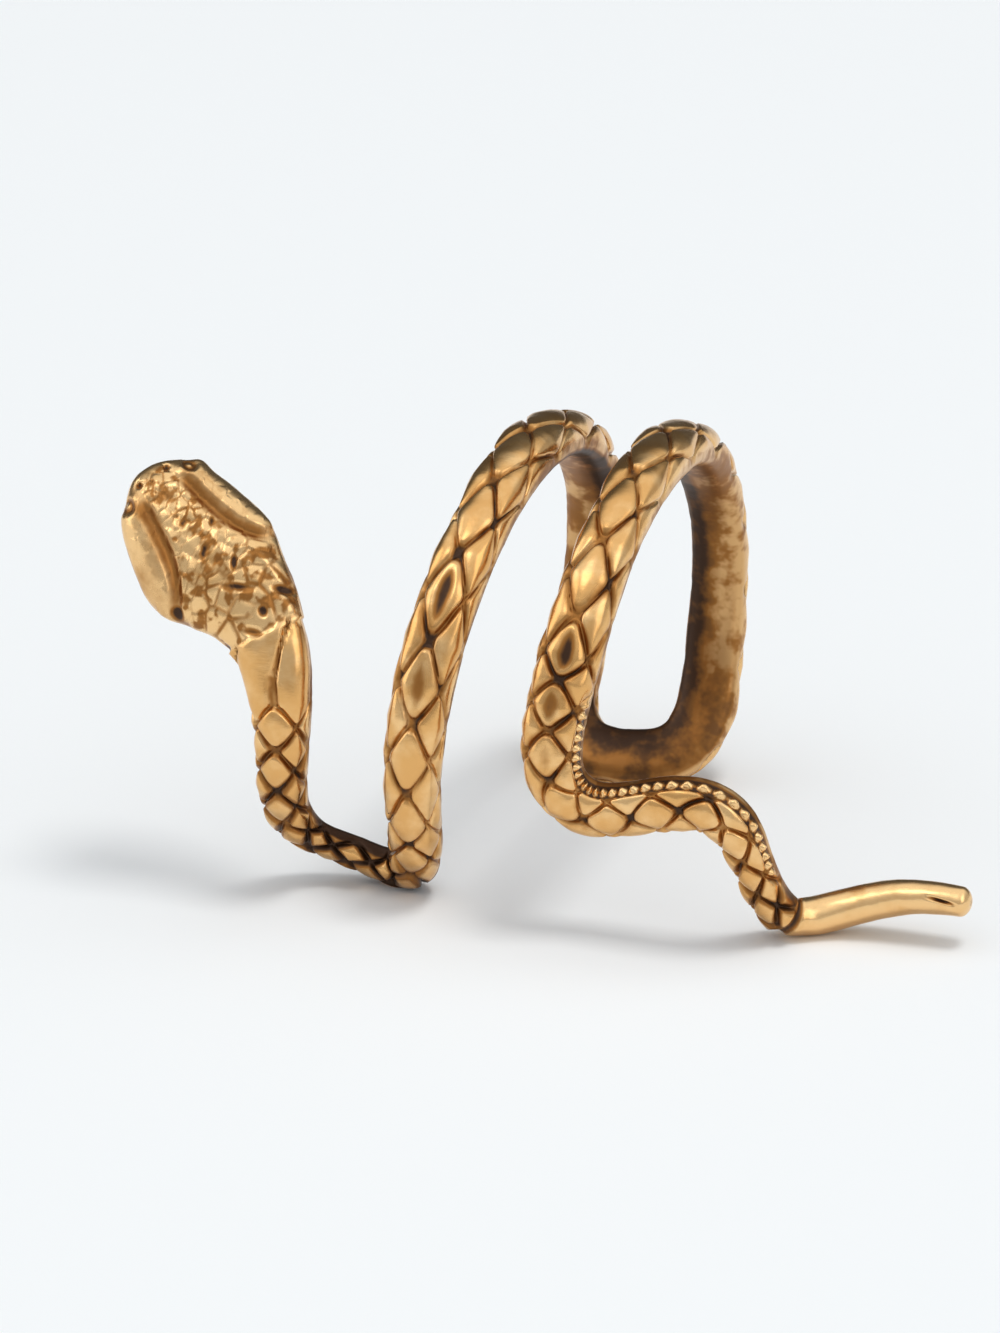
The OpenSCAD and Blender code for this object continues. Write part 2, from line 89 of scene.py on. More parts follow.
# Route of the snake, from the snout to the tip of the tail. Angle in degrees round the finger from
# the top, with the front negative; then millimetres along the finger, off the finger's surface,
# across the snake and through it.
ANGLE, ALONG, RISE, WIDTH, THICK = range(5)
ROUTE = (
    (-37, -15.8, 2.5, 2.6, 1.8),    # snout
    (-46, -13.8, 1.3, 2.9, 1.8),    # crown of the head
    (-57, -11.5, 0.4, 3.8, 1.8),    # nape
    (-70, -9.35, 0.0, 3.3, 1.8),    # throat
    (-88, -8.85, 0.0, 2.35, 1.8),   # neck
    (-103, -9.1, 0.0, 2.1, 1.7),
    (-117, -9.3, 0.0, 1.9, 1.4),    # first turn, in front
    (-129, -8.6, 0.0, 1.7, 1.1),
    (-133, -6.9, 0.05, 1.7, 1.1),
    (-137, -5.3, 0.3, 1.8, 1.3),
    (-136, -3.9, 0.25, 2.1, 1.6),
    (-121, -3.4, 0.0, 2.2, 1.8),
    (-98, -3.25, 0.0, 2.4, 1.8),    # first band
    (-68, -2.55, 0.0, 2.6, 1.8),
    (-34, -1.3, 0.0, 2.3, 1.8),
    (5, -0.5, -0.1, 2.6, 2.0),
    (42, -0.1, -0.15, 2.4, 1.8),
    (78, -0.75, 0.0, 2.4, 1.8),
    (104, -1.35, 0.0, 2.4, 1.8),
    (122, -1.7, 0.0, 2.4, 1.8),     # second turn, behind
    (134, -0.7, 0.0, 2.5, 1.8),
    (135, 1.9, 0.0, 2.6, 1.8),
    (132, 4.1, 0.0, 2.6, 1.8),
    (119, 4.9, 0.0, 2.6, 1.8),
    (100, 4.8, 0.0, 2.5, 1.8),      # second band
    (72, 5.2, 0.0, 2.4, 1.8),
    (40, 5.1, -0.1, 2.4, 1.8),
    (2, 5.1, 0.0, 2.6, 1.95),
    (-34, 4.35, 0.0, 2.35, 1.8),
    (-66, 3.55, 0.0, 2.7, 1.8),
    (-88, 2.8, 0.0, 2.5, 1.8),
    (-100, 3.15, 0.0, 2.35, 1.8),   # third turn, in front
    (-106, 4.8, 0.0, 2.3, 1.7),
    (-102, 7.0, 0.0, 2.25, 1.6),
    (-98, 9.3, 0.1, 2.2, 1.6),      # scaled tail
    (-103, 11.1, 0.1, 2.1, 1.6),
    (-122, 11.65, 0.2, 1.4, 1.4),
    (-136, 12.7, 0.95, 1.9, 1.6),   # bend that rests on the floor
    (-138, 15.0, -0.35, 1.7, 1.6),  # plain tail end
    (-134, 17.8, -0.95, 1.6, 1.4),
    (-134, 20.35, -0.7, 1.3, 1.2),
)

# Outline of the head: share of its length from the snout, then millimetres to its front side, to
# its back side, above and below its middle
SHARE, FRONT_SIDE, BACK_SIDE, ABOVE, BELOW = range(5)
HEAD = (
    (0.00, 0.30, 0.30, 0.18, 0.20),
    (0.02, 0.88, 0.95, 0.50, 0.42),
    (0.06, 1.25, 1.50, 0.74, 0.56),  # nostrils
    (0.10, 1.72, 2.10, 0.92, 0.66),
    (0.14, 2.14, 2.30, 1.04, 0.76),  # eyes
    (0.20, 2.42, 2.30, 1.12, 0.84),
    (0.28, 2.72, 2.52, 1.18, 0.92),
    (0.38, 2.98, 2.72, 1.26, 0.98),
    (0.48, 3.28, 2.86, 1.32, 1.00),
    (0.56, 3.28, 2.92, 1.34, 1.00),
    (0.62, 3.14, 2.80, 1.32, 0.98),  # corners of the jaw
    (0.68, 2.92, 2.62, 1.28, 0.94),
    (0.76, 2.46, 2.38, 1.22, 0.88),
    (0.84, 2.04, 2.24, 1.18, 0.80),
    (0.92, 1.84, 2.00, 1.14, 0.74),
    (1.00, 1.66, 1.78, 1.12, 0.68),
)

# The scale net: a scale is two rows long, and odd rows have one in the middle column. The table
# gives millimetres from the nape for the rows where the length of the scales changes.
NET_ROW, NET_AT = range(2)
NET = (
    (1.98, 0.0),
    (2.02, 2.8),  # two long plates side by side behind the head
    (3, 3.7),     # small scales of the neck
    (15, 15.2),
    (19, 19.2),   # first large scale of the first band
    (23, 25.4),
    (29, 36.1),
    (61, 94.0),
    (65, 100.4),  # last large scale of the second band
    (69, 104.4),
    (77, 113.0),
    (84, 119.4),
)
# Rows of the long plates, which need steps of their own
LONG_ROWS = (1.98, 2.02)
LONG_STEPS = 14
# Rows whose middle scale has a sunk middle, in front on each band, and how sunk it is
SUNK_ROWS = {23: 0.55, 25: 1.0, 65: 1.0, 67: 0.7, 69: 0.35}
# Shares of the head between which the long plates begin, the columns by which the groove between
# them lies off the middle there, and their length for the net, much more than their width
PLATES_START = (0.965, 1.005)
PLATES_TWIST = 1.0
PLATE_LONG = 1000
# Rows with small beads along one edge of the third turn, the rows in which they set in and end,
# and the columns between which they end
BEAD_ROWS = (66, 82)
BEADS_FADE = 1.5
BEAD_COLUMNS = (0.74, 0.88)
# Rows behind the finger between which painted shade on one side of the inside deepens and
# lightens again
BACK_ROWS = (26, 32, 56, 62)
# How dark the scales are, by row: patina on the neck, and painted shade on the first turn, which
# lies low by the floor and is the darkest part of the ring
DARK_ROWS = (
    (2.0, 0.0),
    (2.6, 0.0),
    (3.5, 0.5),
    (8.5, 0.7),
    (10.0, 1.0),
    (15.0, 1.0),
    (17.0, 0.1),
    (20.0, 0.0),
    (22.0, 0.2),
    (25.0, 0.2),
    (28.0, 0.0),
    (60.0, 0.0),
    (63.0, 0.3),
    (68.0, 0.3),
    (71.0, 0.1),
    (78.0, 0.2),
    (81.0, 0.5),
    (84.0, 0.8),
)

# The long groove on each side of the crown: share of the head and millimetres from its middle
CHEEK_GROOVE = (
    (0.10, 1.00),
    (0.20, 1.12),
    (0.30, 1.25),
    (0.40, 1.42),
    (0.48, 1.62),
    (0.56, 1.98),
    (0.63, 2.40),
    (0.70, 2.80),
)
# Features of the head: height in millimetres and how dark they are: patina, and painted shade in
# the eye sockets
FEATURE_HIGH, FEATURE_DARK = range(2)
FEATURES = {
    "cheek groove": (-0.24, 0.0),
    "cheek stain": (0.0, 0.6),
    "cheek ridge": (0.13, 0.0),
    "ridge streaks": (0.0, 0.26),
    "brow": (0.13, 0.0),
    # The eye socket is darkened as painted shade, and the eyeball lightens it again
    "eye socket": (-0.30, 1.0),
    "eyeball": (0.20, -1.0),
    "nostril": (-0.16, 1.0),
    "muzzle": (0.07, 0.0),
    "mouth": (-0.15, 0.9),
    "end of jaw": (-0.12, 0.5),
}
# Their places. A SHARE is of the head's length, AHEAD is millimetres from the snout, SIDE from the
# head's middle, and OVER is the sine of the section's angle. A pair is a middle and its reach, or
# with STARTS, ENDS and OFF the two values between which an eased step lies.
CHEEK_STARTS, CHEEK_ENDS = (0.08, 0.20), (0.58, 0.70)
CHEEK_GROOVE_REACH, CHEEK_STAIN_REACH = 0.42, 0.66
RIDGE_OFF_GROOVE, RIDGE_REACH = 0.55, 0.80
STREAKS_OFF, STREAKS_STARTS, STREAKS_ENDS = (0.3, 0.7), (0.26, 0.40), (0.6, 0.7)
BROW_SHARE, BROW_SIDE = (0.14, 0.07), (1.15, 0.45)
EYE_AHEAD, EYE_SIDE, EYE_SLIM = 1.02, 1.62, 1.1
SOCKET_REACH, EYEBALL_REACH = 0.52, 0.26
NOSTRIL_AHEAD, NOSTRIL_SIDE, NOSTRIL_REACH = 0.58, 0.72, 0.22
MUZZLE_SHARE, MUZZLE_SIDE = (0.10, 0.08), (0, 0.5)
MOUTH_OVER, MOUTH_STARTS, MOUTH_ENDS = (-0.28, 0.24), (0.0, 0.03), (0.56, 0.64)
JAW_END_SHARE, JAW_END_OVER, JAW_END_OFF = (0.71, 0.06), (0.15, 0.5), (1.3, 2.2)
# Sines at which features end and are full, on the top alone and on the top and the flanks
TOP_OVER, FLANKS_TOO_OVER = (0, 0.25), (-0.2, 0.3)
# The small scales of the crown lose this share of their height at the cheek grooves, and cover the
# whole back of the head. They grow towards the nape.
CROWN_LOST, CROWN_ENDS = 0.65, (-0.32, -0.12)
CROWN_STARTS, CROWN_BEHIND, CROWN_GROWS = (0.02, 0.06), (0.64, 0.72), (0.5, 0.9)
CROWN_OVER = (0, 0.5)
# Single marks on the head: share of its length, millimetres to the front side, half their length
# and half their width in millimetres, degrees from the head's length, height in millimetres and
# how dark they are
MARK_SHARE, MARK_SIDE, MARK_LONG, MARK_WIDE, MARK_TURN, MARK_HIGH, MARK_DARK = range(7)
MARKS = (
    (0.74, -0.2, 1.10, 0.28, -50, -0.16, 1.0),  # fold behind the crown
    (0.87, -1.8, 0.70, 0.28, -50, -0.16, 1.2),
    (0.96, 0.2, 0.80, 0.28, -50, -0.12, 0.8),   # fold in front of the plates
    (0.73, -1.8, 1.50, 0.40, -15, 0.10, 0.0),   # ridge above that fold
    (0.93, -1.6, 0.80, 0.40, -20, 0.10, 0.0),
    (0.90, -0.6, 0.36, 0.34, 0, -0.16, 1.3),    # pits
    (0.64, -0.7, 0.55, 0.24, 40, -0.14, 1.2),
    (0.51, 0.1, 0.48, 0.22, 40, -0.12, 1.1),
    (0.34, 0.1, 0.30, 0.24, 40, -0.10, 1.0),
    (0.42, -0.9, 0.34, 0.20, 40, -0.10, 0.9),
    (0.66, 2.6, 0.45, 0.36, 0, -0.10, 1.2),
    (0.97, 1.7, 0.50, 0.25, 0, -0.08, 1.2),
)

# Roundness of the section: 1 is an ellipse and less is squarer. A squarer back is longer round.
SIDE_POWER = 0.8
BACK_POWER = 0.9
BELLY_POWER = 0.55
JAW_POWER = 0.7
ROUND_POWER = 0.9
BACK_LONGER = 1.06
# The scales end on the flanks, between these sines of the section's angle
SCALES_OVER = (-0.25, 0.4)

# How dark painted shade is where the flanks turn under, and the sines of the angles where it
# ends. It is darker, and reaches up to the back's edge on one side, where the rows are darkest.
FLANK_SHADE, FLANK_DARKER = 0.5, 0.6
FLANK_OVER = (-0.05, 0.38)
DARKEST = (0.5, 1.0)
EDGE_DARK, EDGE_OVER, EDGE_ASIDE = 1.15, (0.12, 0.5), (0, 0.2)
# The inside: painted shade on the faces towards the finger, deeper in the hairpin behind the
# finger and on one side of the back
INSIDE_SHADE, INSIDE_STEEP = 0.54, 2.5
HAIRPIN_DARKER, HAIRPIN_ROWS = 0.22, (44.5, 5)
SHADY_SIDE, SHADY_ASIDE = 0.6, (-0.1, 0.7)

# Steps of the mesh: each row and column of the net is cut into the same number of steps, so that
# the grooves run along the mesh's own diagonals. Rings lie closer towards the snout and the tip.
STEPS = 13
NET_COLUMNS = 4
BACK_STEPS = STEPS * NET_COLUMNS
BELLY_ANGLES = (8, 24, 45, 65, 82, 98, 115, 135, 156, 172)
HEAD_RINGS = 168
HEAD_FINENESS = 2
SNOUT_CLOSER, SNOUT_RING = 1.15, 0.006
# Millimetres over which the way is taken that the snout and the tip point
SNOUT_WAY, TIP_WAY = 0.5, 1.0
TAIL_RINGS = 66
TIP_CLOSER = 1.25
ROUTE_STEPS = 64

# The plain tail end, in millimetres: where it has become round, its ring groove with its reach,
# the length of the rounded tip and the least share of its width that is left at the very tip
TAIL_ROUND_AT = 1.2
TAIL_RING = (0.35, 0.32)
TIP_LONG = 0.45
TIP_LEFT = 0.02
# How dark painted shade makes the belly of the tail end
TAIL_BELLY_SHADE = 0.35
# The notch near its tip: millimetres from the tip, degrees round the section, then half its length
# and half its width in the same measures. It slants by so many degrees a millimetre.
TAIL_NOTCH = (1.2, 146.0, 0.8, 12.0)
NOTCH_SLANT = 16.0
NOTCH_DARK = 1.2

# Waves to the metre in which grooves wander and widen, stain spreads, the casting's surface rolls,
# and patches of stain lie on the crown and all over
BEND_WAVES, HAND_WAVES, SPREAD_WAVES, CAST_WAVES = 430.0, 650.0, 480.0, 900.0
CROWN_WAVES, PATCH_WAVES = 1900.0, 700.0
# Relief of the scales. Grooves wander by this share of the net. They are as wide and deep as their
# sizes say, but within these shares of the net's pitch and no narrower than this in millimetres.
GROOVE_WANDER = 0.16
GROOVE_VARIES, GROOVE_LEAST = 2.4, -0.2
GROOVE_EDGE = (0.05, 1.0)
WIDEST_GROOVE, DEEPEST_GROOVE = 0.17, 0.18
NARROWEST_GROOVE = 0.05
CORNER_ROWS = (2.02, 2.4)
LOWEST_CROWN, HIGHEST_CROWN = 0.6, 1.25
SCALES_APART = 131.0
SUNK_LONG, SUNK_WIDE = 0.78, 0.38
PEBBLE_UNEVEN, PEBBLE_TILT = 0.9, 3.2
CRACK_WIDE, CRACK_VARIES, CRACK_LEAST = 0.22, 2.4, -0.7
BEAD_COLUMN, BEAD_LONG, BEAD_WIDE, BEAD_SUNK = -1.62, 0.44, 0.34, 0.4
BEAD_EDGE, BEAD_GAP = (0.2, 1.0), (0.8, 1.1)
# How dark the stain is on the scales' margins, between beads, in cracks and in the crown's patches
MARGIN_STAIN, BEAD_STAIN, CRACK_STAIN, PATCH_STAIN = 0.22, 0.92, 0.7, 0.56
# The margins are so many shares of the net's pitch wide where stain spreads and where rows are
# dark, and so many times darker there, as patina and painted shade. Grooves are filled least
# where stain doesn't spread.
MARGIN_SPREADS, MARGIN_WIDER, MARGIN_DARKER = 0.32, 0.14, 3.4
MARGIN_EDGE = (0.2, 1.2)
LEAST_FILLED, FILLED_BY_DARK, FILLED_SPREAD = 0.42, 0.5, (0.42, 0.64)
LEAST_PATCH, PATCH_EDGE = 0.04, (0.47, 0.63)
RELIEF_SIZES = ("groove_depth", "groove_width", "corner_rounding", "crown_height", "sunk_depth",
                "bead_height", "pebble_size", "pebble_height", "unevenness")

# Values of the groove and of the inside's painted shade between which the brown stain and the
# dark core set in, and of the patches between which the gold grows dull
GROOVE_STAIN, GROOVE_CORE = (0.05, 0.55), (0.52, 0.95)
INNER_SHADE, INNER_DEEP_SHADE = (0.3, 0.8), (0.65, 1.15)
SHADE_PATCHES, DULL_PATCHES = (0.38, 0.62), (0.45, 0.85)
# How far the patches raise the painted shade and its dark core on the inside, and how far chance
# changes a scale's dullness. Patches change a groove in full from this share of its depth on.
SHADE_BY_PATCHES, DEEP_SHADE_BY_PATCHES, SCALE_CHANCE = 0.3, 0.25, 0.25
PATCHES_FULL = 0.25
# The polish: waves to the metre and share of its hairlines and of its pits, and how the hairlines
# are drawn out and turned
HAIRLINE_WAVES, PIT_WAVES = 2600.0, 1500.0
HAIRLINES, PITS = 0.35, 0.65
HAIRLINE_STRETCH, HAIRLINE_TURN = (1.0, 5.0, 5.0), (0.3, 0.5, 0.9)
GRAIN_DEPTH = 0.02 * MM
# How much the stain roughens the gold, and how much of the metal's shine the dark core takes
STAIN_ROUGHER, CORE_DULLER = 0.16, 0.4


def hump(value, middle, reach):
    """A smooth bump: 1 at the middle and 0 beyond the reach."""
    return np.maximum(0, 1 - ((value - middle) / reach) ** 2) ** 2


def ease(value, low, high):
    """A smooth step from 0 at low to 1 at high."""
    share = np.clip((value - low) / (high - low), 0, 1)
    return share * share * (3 - 2 * share)


def ease_out(value, low, high):
    """A step from 0 at low to 1 at high that is steep at low."""
    return 1 - (1 - np.clip((value - low) / (high - low), 0, 1)) ** 3


def between(value, starts, ends):
    """1 between two places, with an eased step at each of them."""
    return ease(value, *starts) * (1 - ease(value, *ends))


def read(table, value):
    """Second column of a table at a value of the first."""
    return np.interp(value, *np.array(table, float).T)


def signed_power(value, power):
    return np.sign(value) * np.abs(value) ** power


def unit(vectors):
    return vectors / np.linalg.norm(vectors, axis=-1, keepdims=True)


def smooth_rows(table, steps):
    """Rows along a smooth curve through a table, with that many steps from one row to the next."""
    rows = np.array(table, float)
    rows = np.vstack([2 * rows[0] - rows[1], rows, 2 * rows[-1] - rows[-2]])
    t = np.arange(steps)[:, None] / steps
    weights = (
        (1 - t) ** 3,
        3 * t ** 3 - 6 * t * t + 4,
        -3 * t ** 3 + 3 * t * t + 3 * t + 1,
        t ** 3,
    )
    parts = [
        sum(weight * rows[k + n] for n, weight in enumerate(weights)) / 6
        for k in range(len(rows) - 3)
    ]
    last = (rows[-3] + 4 * rows[-2] + rows[-1]) / 6
    return np.vstack(parts + [last[None]])


class Snake:
    """The route of the snake, with the frame of its section at any distance from the snout."""

    def __init__(self, sizes):
        self.belly = sizes.belly_share
        self.easing = sizes.turn_easing / MM
        self.rows = smooth_rows(ROUTE, ROUTE_STEPS)
        inner = sizes.finger_diameter / MM / 2 + self.rows[:, RISE]
        radius = inner + self.belly * self.rows[:, THICK]
        angle = np.radians(self.rows[:, ANGLE])
        self.way = np.stack(
            [self.rows[:, ALONG], radius * np.sin(angle), radius * np.cos(angle)], 1)
        gaps = np.linalg.norm(np.diff(self.way, axis=0), axis=1)
        self.reach = np.concatenate([[0], np.cumsum(gaps)])
        self.long = self.reach[-1]
        self.head_long = sizes.head_length / MM
        self.scales_end = self.long - sizes.tail_end_length / MM
        head = smooth_rows(HEAD, ROUTE_STEPS)
        self.head = head[np.argsort(head[:, SHARE], kind="stable")]

    def place(self, s):
        return np.stack([np.interp(s, self.reach, self.way[:, n]) for n in range(3)], -1)

    def frame(self, s):
        """Middle, side and outward directions, width and thickness at each distance."""
        middle = self.place(s)
        tangent = unit(self.place(s + self.easing) - self.place(s - self.easing))
        radial = middle * (0, 1, 1)
        out = unit(radial - (radial * tangent).sum(-1, keepdims=True) * tangent)
        side = np.cross(tangent, out)
        wide = np.interp(s, self.reach, self.rows[:, WIDTH])
        thick = np.interp(s, self.reach, self.rows[:, THICK])
        return middle, side, out, wide, thick

    def net_at(self, row):
        """Distance from the snout of a row of the scale net."""
        table = np.array(NET, float)
        stretch = (self.scales_end - self.head_long) / table[-1, NET_AT]
        return self.head_long + stretch * np.interp(row, table[:, NET_ROW], table[:, NET_AT])

    def head_size(self, share):
        return [np.interp(share, self.head[:, SHARE], self.head[:, n])
                for n in (FRONT_SIDE, BACK_SIDE, ABOVE, BELOW)]


def section(frame, angle, front, back, above, below, powers):
    """Points of a rounded section and the direction in which its relief is raised, for each
    distance and each angle in degrees from the side over the back."""
    middle, side, out = frame[:3]
    a = np.radians(angle)[None, :]
    up = np.sin(a) >= 0
    front, back, above, below = (v[:, None] for v in (front, back, above, below))
    half_wide = np.where(np.cos(a) > 0, front, back)
    back_power, belly_power = powers
    high = np.where(up, above, below)
    x = half_wide * signed_power(np.cos(a), SIDE_POWER)
    y = high * signed_power(np.sin(a), np.where(up, back_power, belly_power))
    slope = unit(np.stack([np.cos(a) / half_wide, np.sin(a) / high], -1))
    points = middle[:, None] + x[..., None] * side[:, None] + y[..., None] * out[:, None]
    lift = slope[..., :1] * side[:, None] + slope[..., 1:] * out[:, None]
    return points, lift, x


def ring_angles(fineness):
    """Angles of one ring, over the back and then under the belly, without its closing point."""
    belly = -np.array((0,) + BELLY_ANGLES + (180,), float)
    knots = np.arange(len(belly))
    finer = np.interp(np.arange(1, (len(belly) - 1) * fineness) / fineness, knots, belly)
    return np.concatenate([np.linspace(180, 0, BACK_STEPS * fineness + 1), finer])


class Cast:
    """The mesh of the casting, collected grid by grid, with what the relief and finish read."""

    FIELDS = ("net_row", "net_column", "net_pitch", "scaled", "crown_along", "crown_across",
              "pebbled", "beaded", "sunk", "dark", "hollow", "inside")

    def __init__(self):
        self.points = []
        self.lifts = []
        self.fields = {name: [] for name in self.FIELDS}
        self.faces = []
        self.count = 0

    def add(self, points, lifts, **fields):
        """Adds a grid of points and returns their numbers in the same grid."""
        shape = points.shape[:-1]
        self.points.append(points.reshape(-1, 3))
        self.lifts.append(lifts.reshape(-1, 3))
        for name in self.FIELDS:
            value = np.broadcast_to(fields.get(name, 0.0), shape)
            self.fields[name].append(np.asarray(value, float).reshape(-1))
        numbers = self.count + np.arange(int(np.prod(shape))).reshape(shape)
        self.count += numbers.size
        return numbers

    def skin(self, rings, turned=None):
        """Joins closed rings of equal length. turned picks the diagonal of each quad."""
        a, b = rings[:-1], rings[1:]
        a_next, b_next = np.roll(a, -1, 1), np.roll(b, -1, 1)
        if turned is None:
            turned = np.zeros(a.shape, bool)
        plain = ~turned
        for corners, chosen in (
            ((a, b_next, b), plain), ((a, a_next, b_next), plain),
            ((a, a_next, b), turned), ((b, a_next, b_next), turned),
        ):
            self.faces.append(np.stack([c[chosen] for c in corners], -1))

    def seam(self, fine, coarse):
        """Joins a fine ring to a ring with half as many points, whose points match every second
        one of the fine ring. The fine ring comes first along the snake."""
        even, odd, after = fine[0::2], fine[1::2], np.roll(fine[0::2], -1)
        here, beyond = coarse, np.roll(coarse, -1)
        for corners in ((even, odd, here), (odd, beyond, here), (odd, after, beyond)):
            self.faces.append(np.stack(corners, -1))

    def cap(self, tip, ring, first):
        """Closes an end of the snake with a fan."""
        onward = np.roll(ring, -1)
        pair = (onward, ring) if first else (ring, onward)
        self.faces.append(np.stack([np.full(len(ring), tip), *pair], -1))

    def mesh(self, name):
        points = np.vstack(self.points) * MM
        faces = np.vstack(self.faces)
        mesh = bpy.data.meshes.new(name)
        mesh.vertices.add(len(points))
        mesh.vertices.foreach_set("co", points.astype(np.float32).ravel())
        mesh.loops.add(faces.size)
        mesh.loops.foreach_set("vertex_index", faces.astype(np.int32).ravel())
        mesh.polygons.add(len(faces))
        mesh.polygons.foreach_set("loop_start", np.arange(0, faces.size, 3, dtype=np.int32))
        mesh.update(calc_edges=True)
        lift = mesh.attributes.new("lift", "FLOAT_VECTOR", "POINT")
        lift.data.foreach_set("vector", np.vstack(self.lifts).astype(np.float32).ravel())
        for field, parts in self.fields.items():
            attribute = mesh.attributes.new(field, "FLOAT", "POINT")
            attribute.data.foreach_set("value", np.concatenate(parts).astype(np.float32))
        if mesh.validate():
            raise RuntimeError("the cast's mesh had faults")
        return mesh


def pitch(row_long, column_wide):
    """Twice the distance between neighbouring grooves of the net, in millimetres."""
    return 2 / np.sqrt(1 / row_long ** 2 + 1 / column_wide ** 2)


def net_column(angle):
    """Column of the net at an angle of the section, 0 in the middle of the back."""
    half = NET_COLUMNS / 2
    return np.where(angle >= 0, (90 - angle) / 90 * half, np.where(angle < -90, -half, half))


def column_width(wide, above):
    return np.pi / NET_COLUMNS * np.sqrt((wide ** 2 / 4 + above ** 2) / 2) * BACK_LONGER


def head_relief(share, side, over, head_long):
    """Height of the head's features in millimetres, and how dark they are, from 0 to 1: patina in
    the hollows and painted shade in the eye sockets.

    side is millimetres from the head's middle and over is the sine of the section's angle."""
    beside = np.abs(side)
    from_snout = share * head_long
    top, top_and_side = (np.interp(over, sines, (0, 1)) for sines in (TOP_OVER, FLANKS_TOO_OVER))
    groove_at = read(CHEEK_GROOVE, share)
    cheek = between(share, CHEEK_STARTS, CHEEK_ENDS) * top
    from_eye = np.hypot(from_snout - EYE_AHEAD, (beside - EYE_SIDE) * EYE_SLIM)
    from_nostril = np.hypot(from_snout - NOSTRIL_AHEAD, beside - NOSTRIL_SIDE)
    shapes = {
        "cheek groove": hump(beside, groove_at, CHEEK_GROOVE_REACH) * cheek,
        "cheek stain": hump(beside, groove_at, CHEEK_STAIN_REACH) * cheek,
        "cheek ridge": hump(beside, groove_at + RIDGE_OFF_GROOVE, RIDGE_REACH) * cheek,
        "ridge streaks": (ease(side - groove_at, *STREAKS_OFF)
                          * between(share, STREAKS_STARTS, STREAKS_ENDS) * top),
        "brow": hump(beside, *BROW_SIDE) * hump(share, *BROW_SHARE) * top,
        "eye socket": hump(from_eye, 0, SOCKET_REACH) * top_and_side,
        "eyeball": hump(from_eye, 0, EYEBALL_REACH) * top_and_side,
        "nostril": hump(from_nostril, 0, NOSTRIL_REACH) * top,
        "muzzle": hump(beside, *MUZZLE_SIDE) * hump(share, *MUZZLE_SHARE) * top,
        "mouth": hump(over, *MOUTH_OVER) * between(share, MOUTH_STARTS, MOUTH_ENDS),
        "end of jaw": (hump(share, *JAW_END_SHARE) * hump(over, *JAW_END_OVER)
                       * ease(side, *JAW_END_OFF)),
    }
    height = sum(FEATURES[name][FEATURE_HIGH] * shape for name, shape in shapes.items())
    hollow = sum(FEATURES[name][FEATURE_DARK] * shape for name, shape in shapes.items())
    for mark in MARKS:
        turn = math.radians(mark[MARK_TURN])
        ahead = from_snout - mark[MARK_SHARE] * head_long
        aside = side - mark[MARK_SIDE]
        far = np.hypot((ahead * math.cos(turn) + aside * math.sin(turn)) / mark[MARK_LONG],
                       (aside * math.cos(turn) - ahead * math.sin(turn)) / mark[MARK_WIDE])
        shape = hump(far, 0, 1) * top
        height = height + mark[MARK_HIGH] * shape
        hollow = hollow + mark[MARK_DARK] * shape
    return height, np.clip(hollow, 0, 1)


def add_head(cast, snake):
    """The head, from the snout to the nape, in finer steps than the body."""
    share = np.linspace(0, 1, HEAD_RINGS + 1)[:-1] ** SNOUT_CLOSER
    share = SNOUT_RING + (1 - SNOUT_RING) * share
    angle = ring_angles(HEAD_FINENESS)
    frame = snake.frame(share * snake.head_long)
    front, back, above, below = snake.head_size(share)
    points, lift, side = section(frame, angle, front, back, above, below, (BACK_POWER, JAW_POWER))
    over = np.sin(np.radians(angle))[None, :]
    share_grid = np.broadcast_to(share[:, None], side.shape)
    height, hollow = head_relief(share_grid, side, over, snake.head_long)
    points = points + height[..., None] * lift

    # The crown has small uneven scales between the grooves of the cheeks. They grow towards the
    # nape, where the first long plates of the net begin.
    past_groove = np.abs(side) - read(CHEEK_GROOVE, share_grid)
    crown = 1 - CROWN_LOST * ease(past_groove, *CROWN_ENDS)
    covered = np.maximum(crown, ease(share_grid, *CROWN_BEHIND))
    covered = covered * ease(share_grid, *CROWN_STARTS) * ease(over, *CROWN_OVER)
    plates = ease(share_grid, *PLATES_START)
    growth = 1 + ease(share, *CROWN_GROWS)
    steps = np.diff(share, prepend=share[:1]) * snake.head_long
    body_pitch = pitch(PLATE_LONG, column_width(front[-1:] + back[-1:], above[-1:]))
    # Painted shade darkens the head's flanks where they turn under
    numbers = cast.add(
        points, lift, net_row=NET[0][NET_ROW], net_column=net_column(angle)[None, :] + PLATES_TWIST,
        net_pitch=body_pitch, scaled=plates * ease(over, *SCALES_OVER),
        crown_along=np.cumsum(steps / growth)[:, None], crown_across=side / growth[:, None],
        pebbled=covered * (1 - plates), hollow=hollow,
        inside=FLANK_SHADE * (1 - ease(over, *FLANK_OVER)))
    cast.skin(numbers)
    snout = snake.frame(np.array([0.0]))
    tip = cast.add(snout[0], -unit(snake.place(np.array([SNOUT_WAY])) - snout[0]))
    cast.cap(tip[0], numbers[0], first=True)
    return numbers[-1]


def body_painted_shade(row, angle, dark):
    """How dark painted shade makes the flanks, one edge of the darkest rows and the inside, at each
    row and angle.
    """
    over, aside = np.sin(np.radians(angle))[None, :], np.cos(np.radians(angle))[None, :]
    back = between(row, BACK_ROWS[:2], BACK_ROWS[2:])[:, None]
    inner = INSIDE_SHADE + HAIRPIN_DARKER * hump(row, *HAIRPIN_ROWS)[:, None]
    inner = np.clip(inner + SHADY_SIDE * ease(aside, *SHADY_ASIDE) * back, 0, 1)
    darkest = ease(dark, *DARKEST)
    flank = (FLANK_SHADE + FLANK_DARKER * darkest) * (1 - ease(over, *FLANK_OVER))
    edge = EDGE_DARK * darkest * (1 - ease(over, *EDGE_OVER)) * ease(-aside, *EDGE_ASIDE)
    return np.maximum(np.clip(-INSIDE_STEEP * over, 0, 1) * inner, np.maximum(flank, edge))


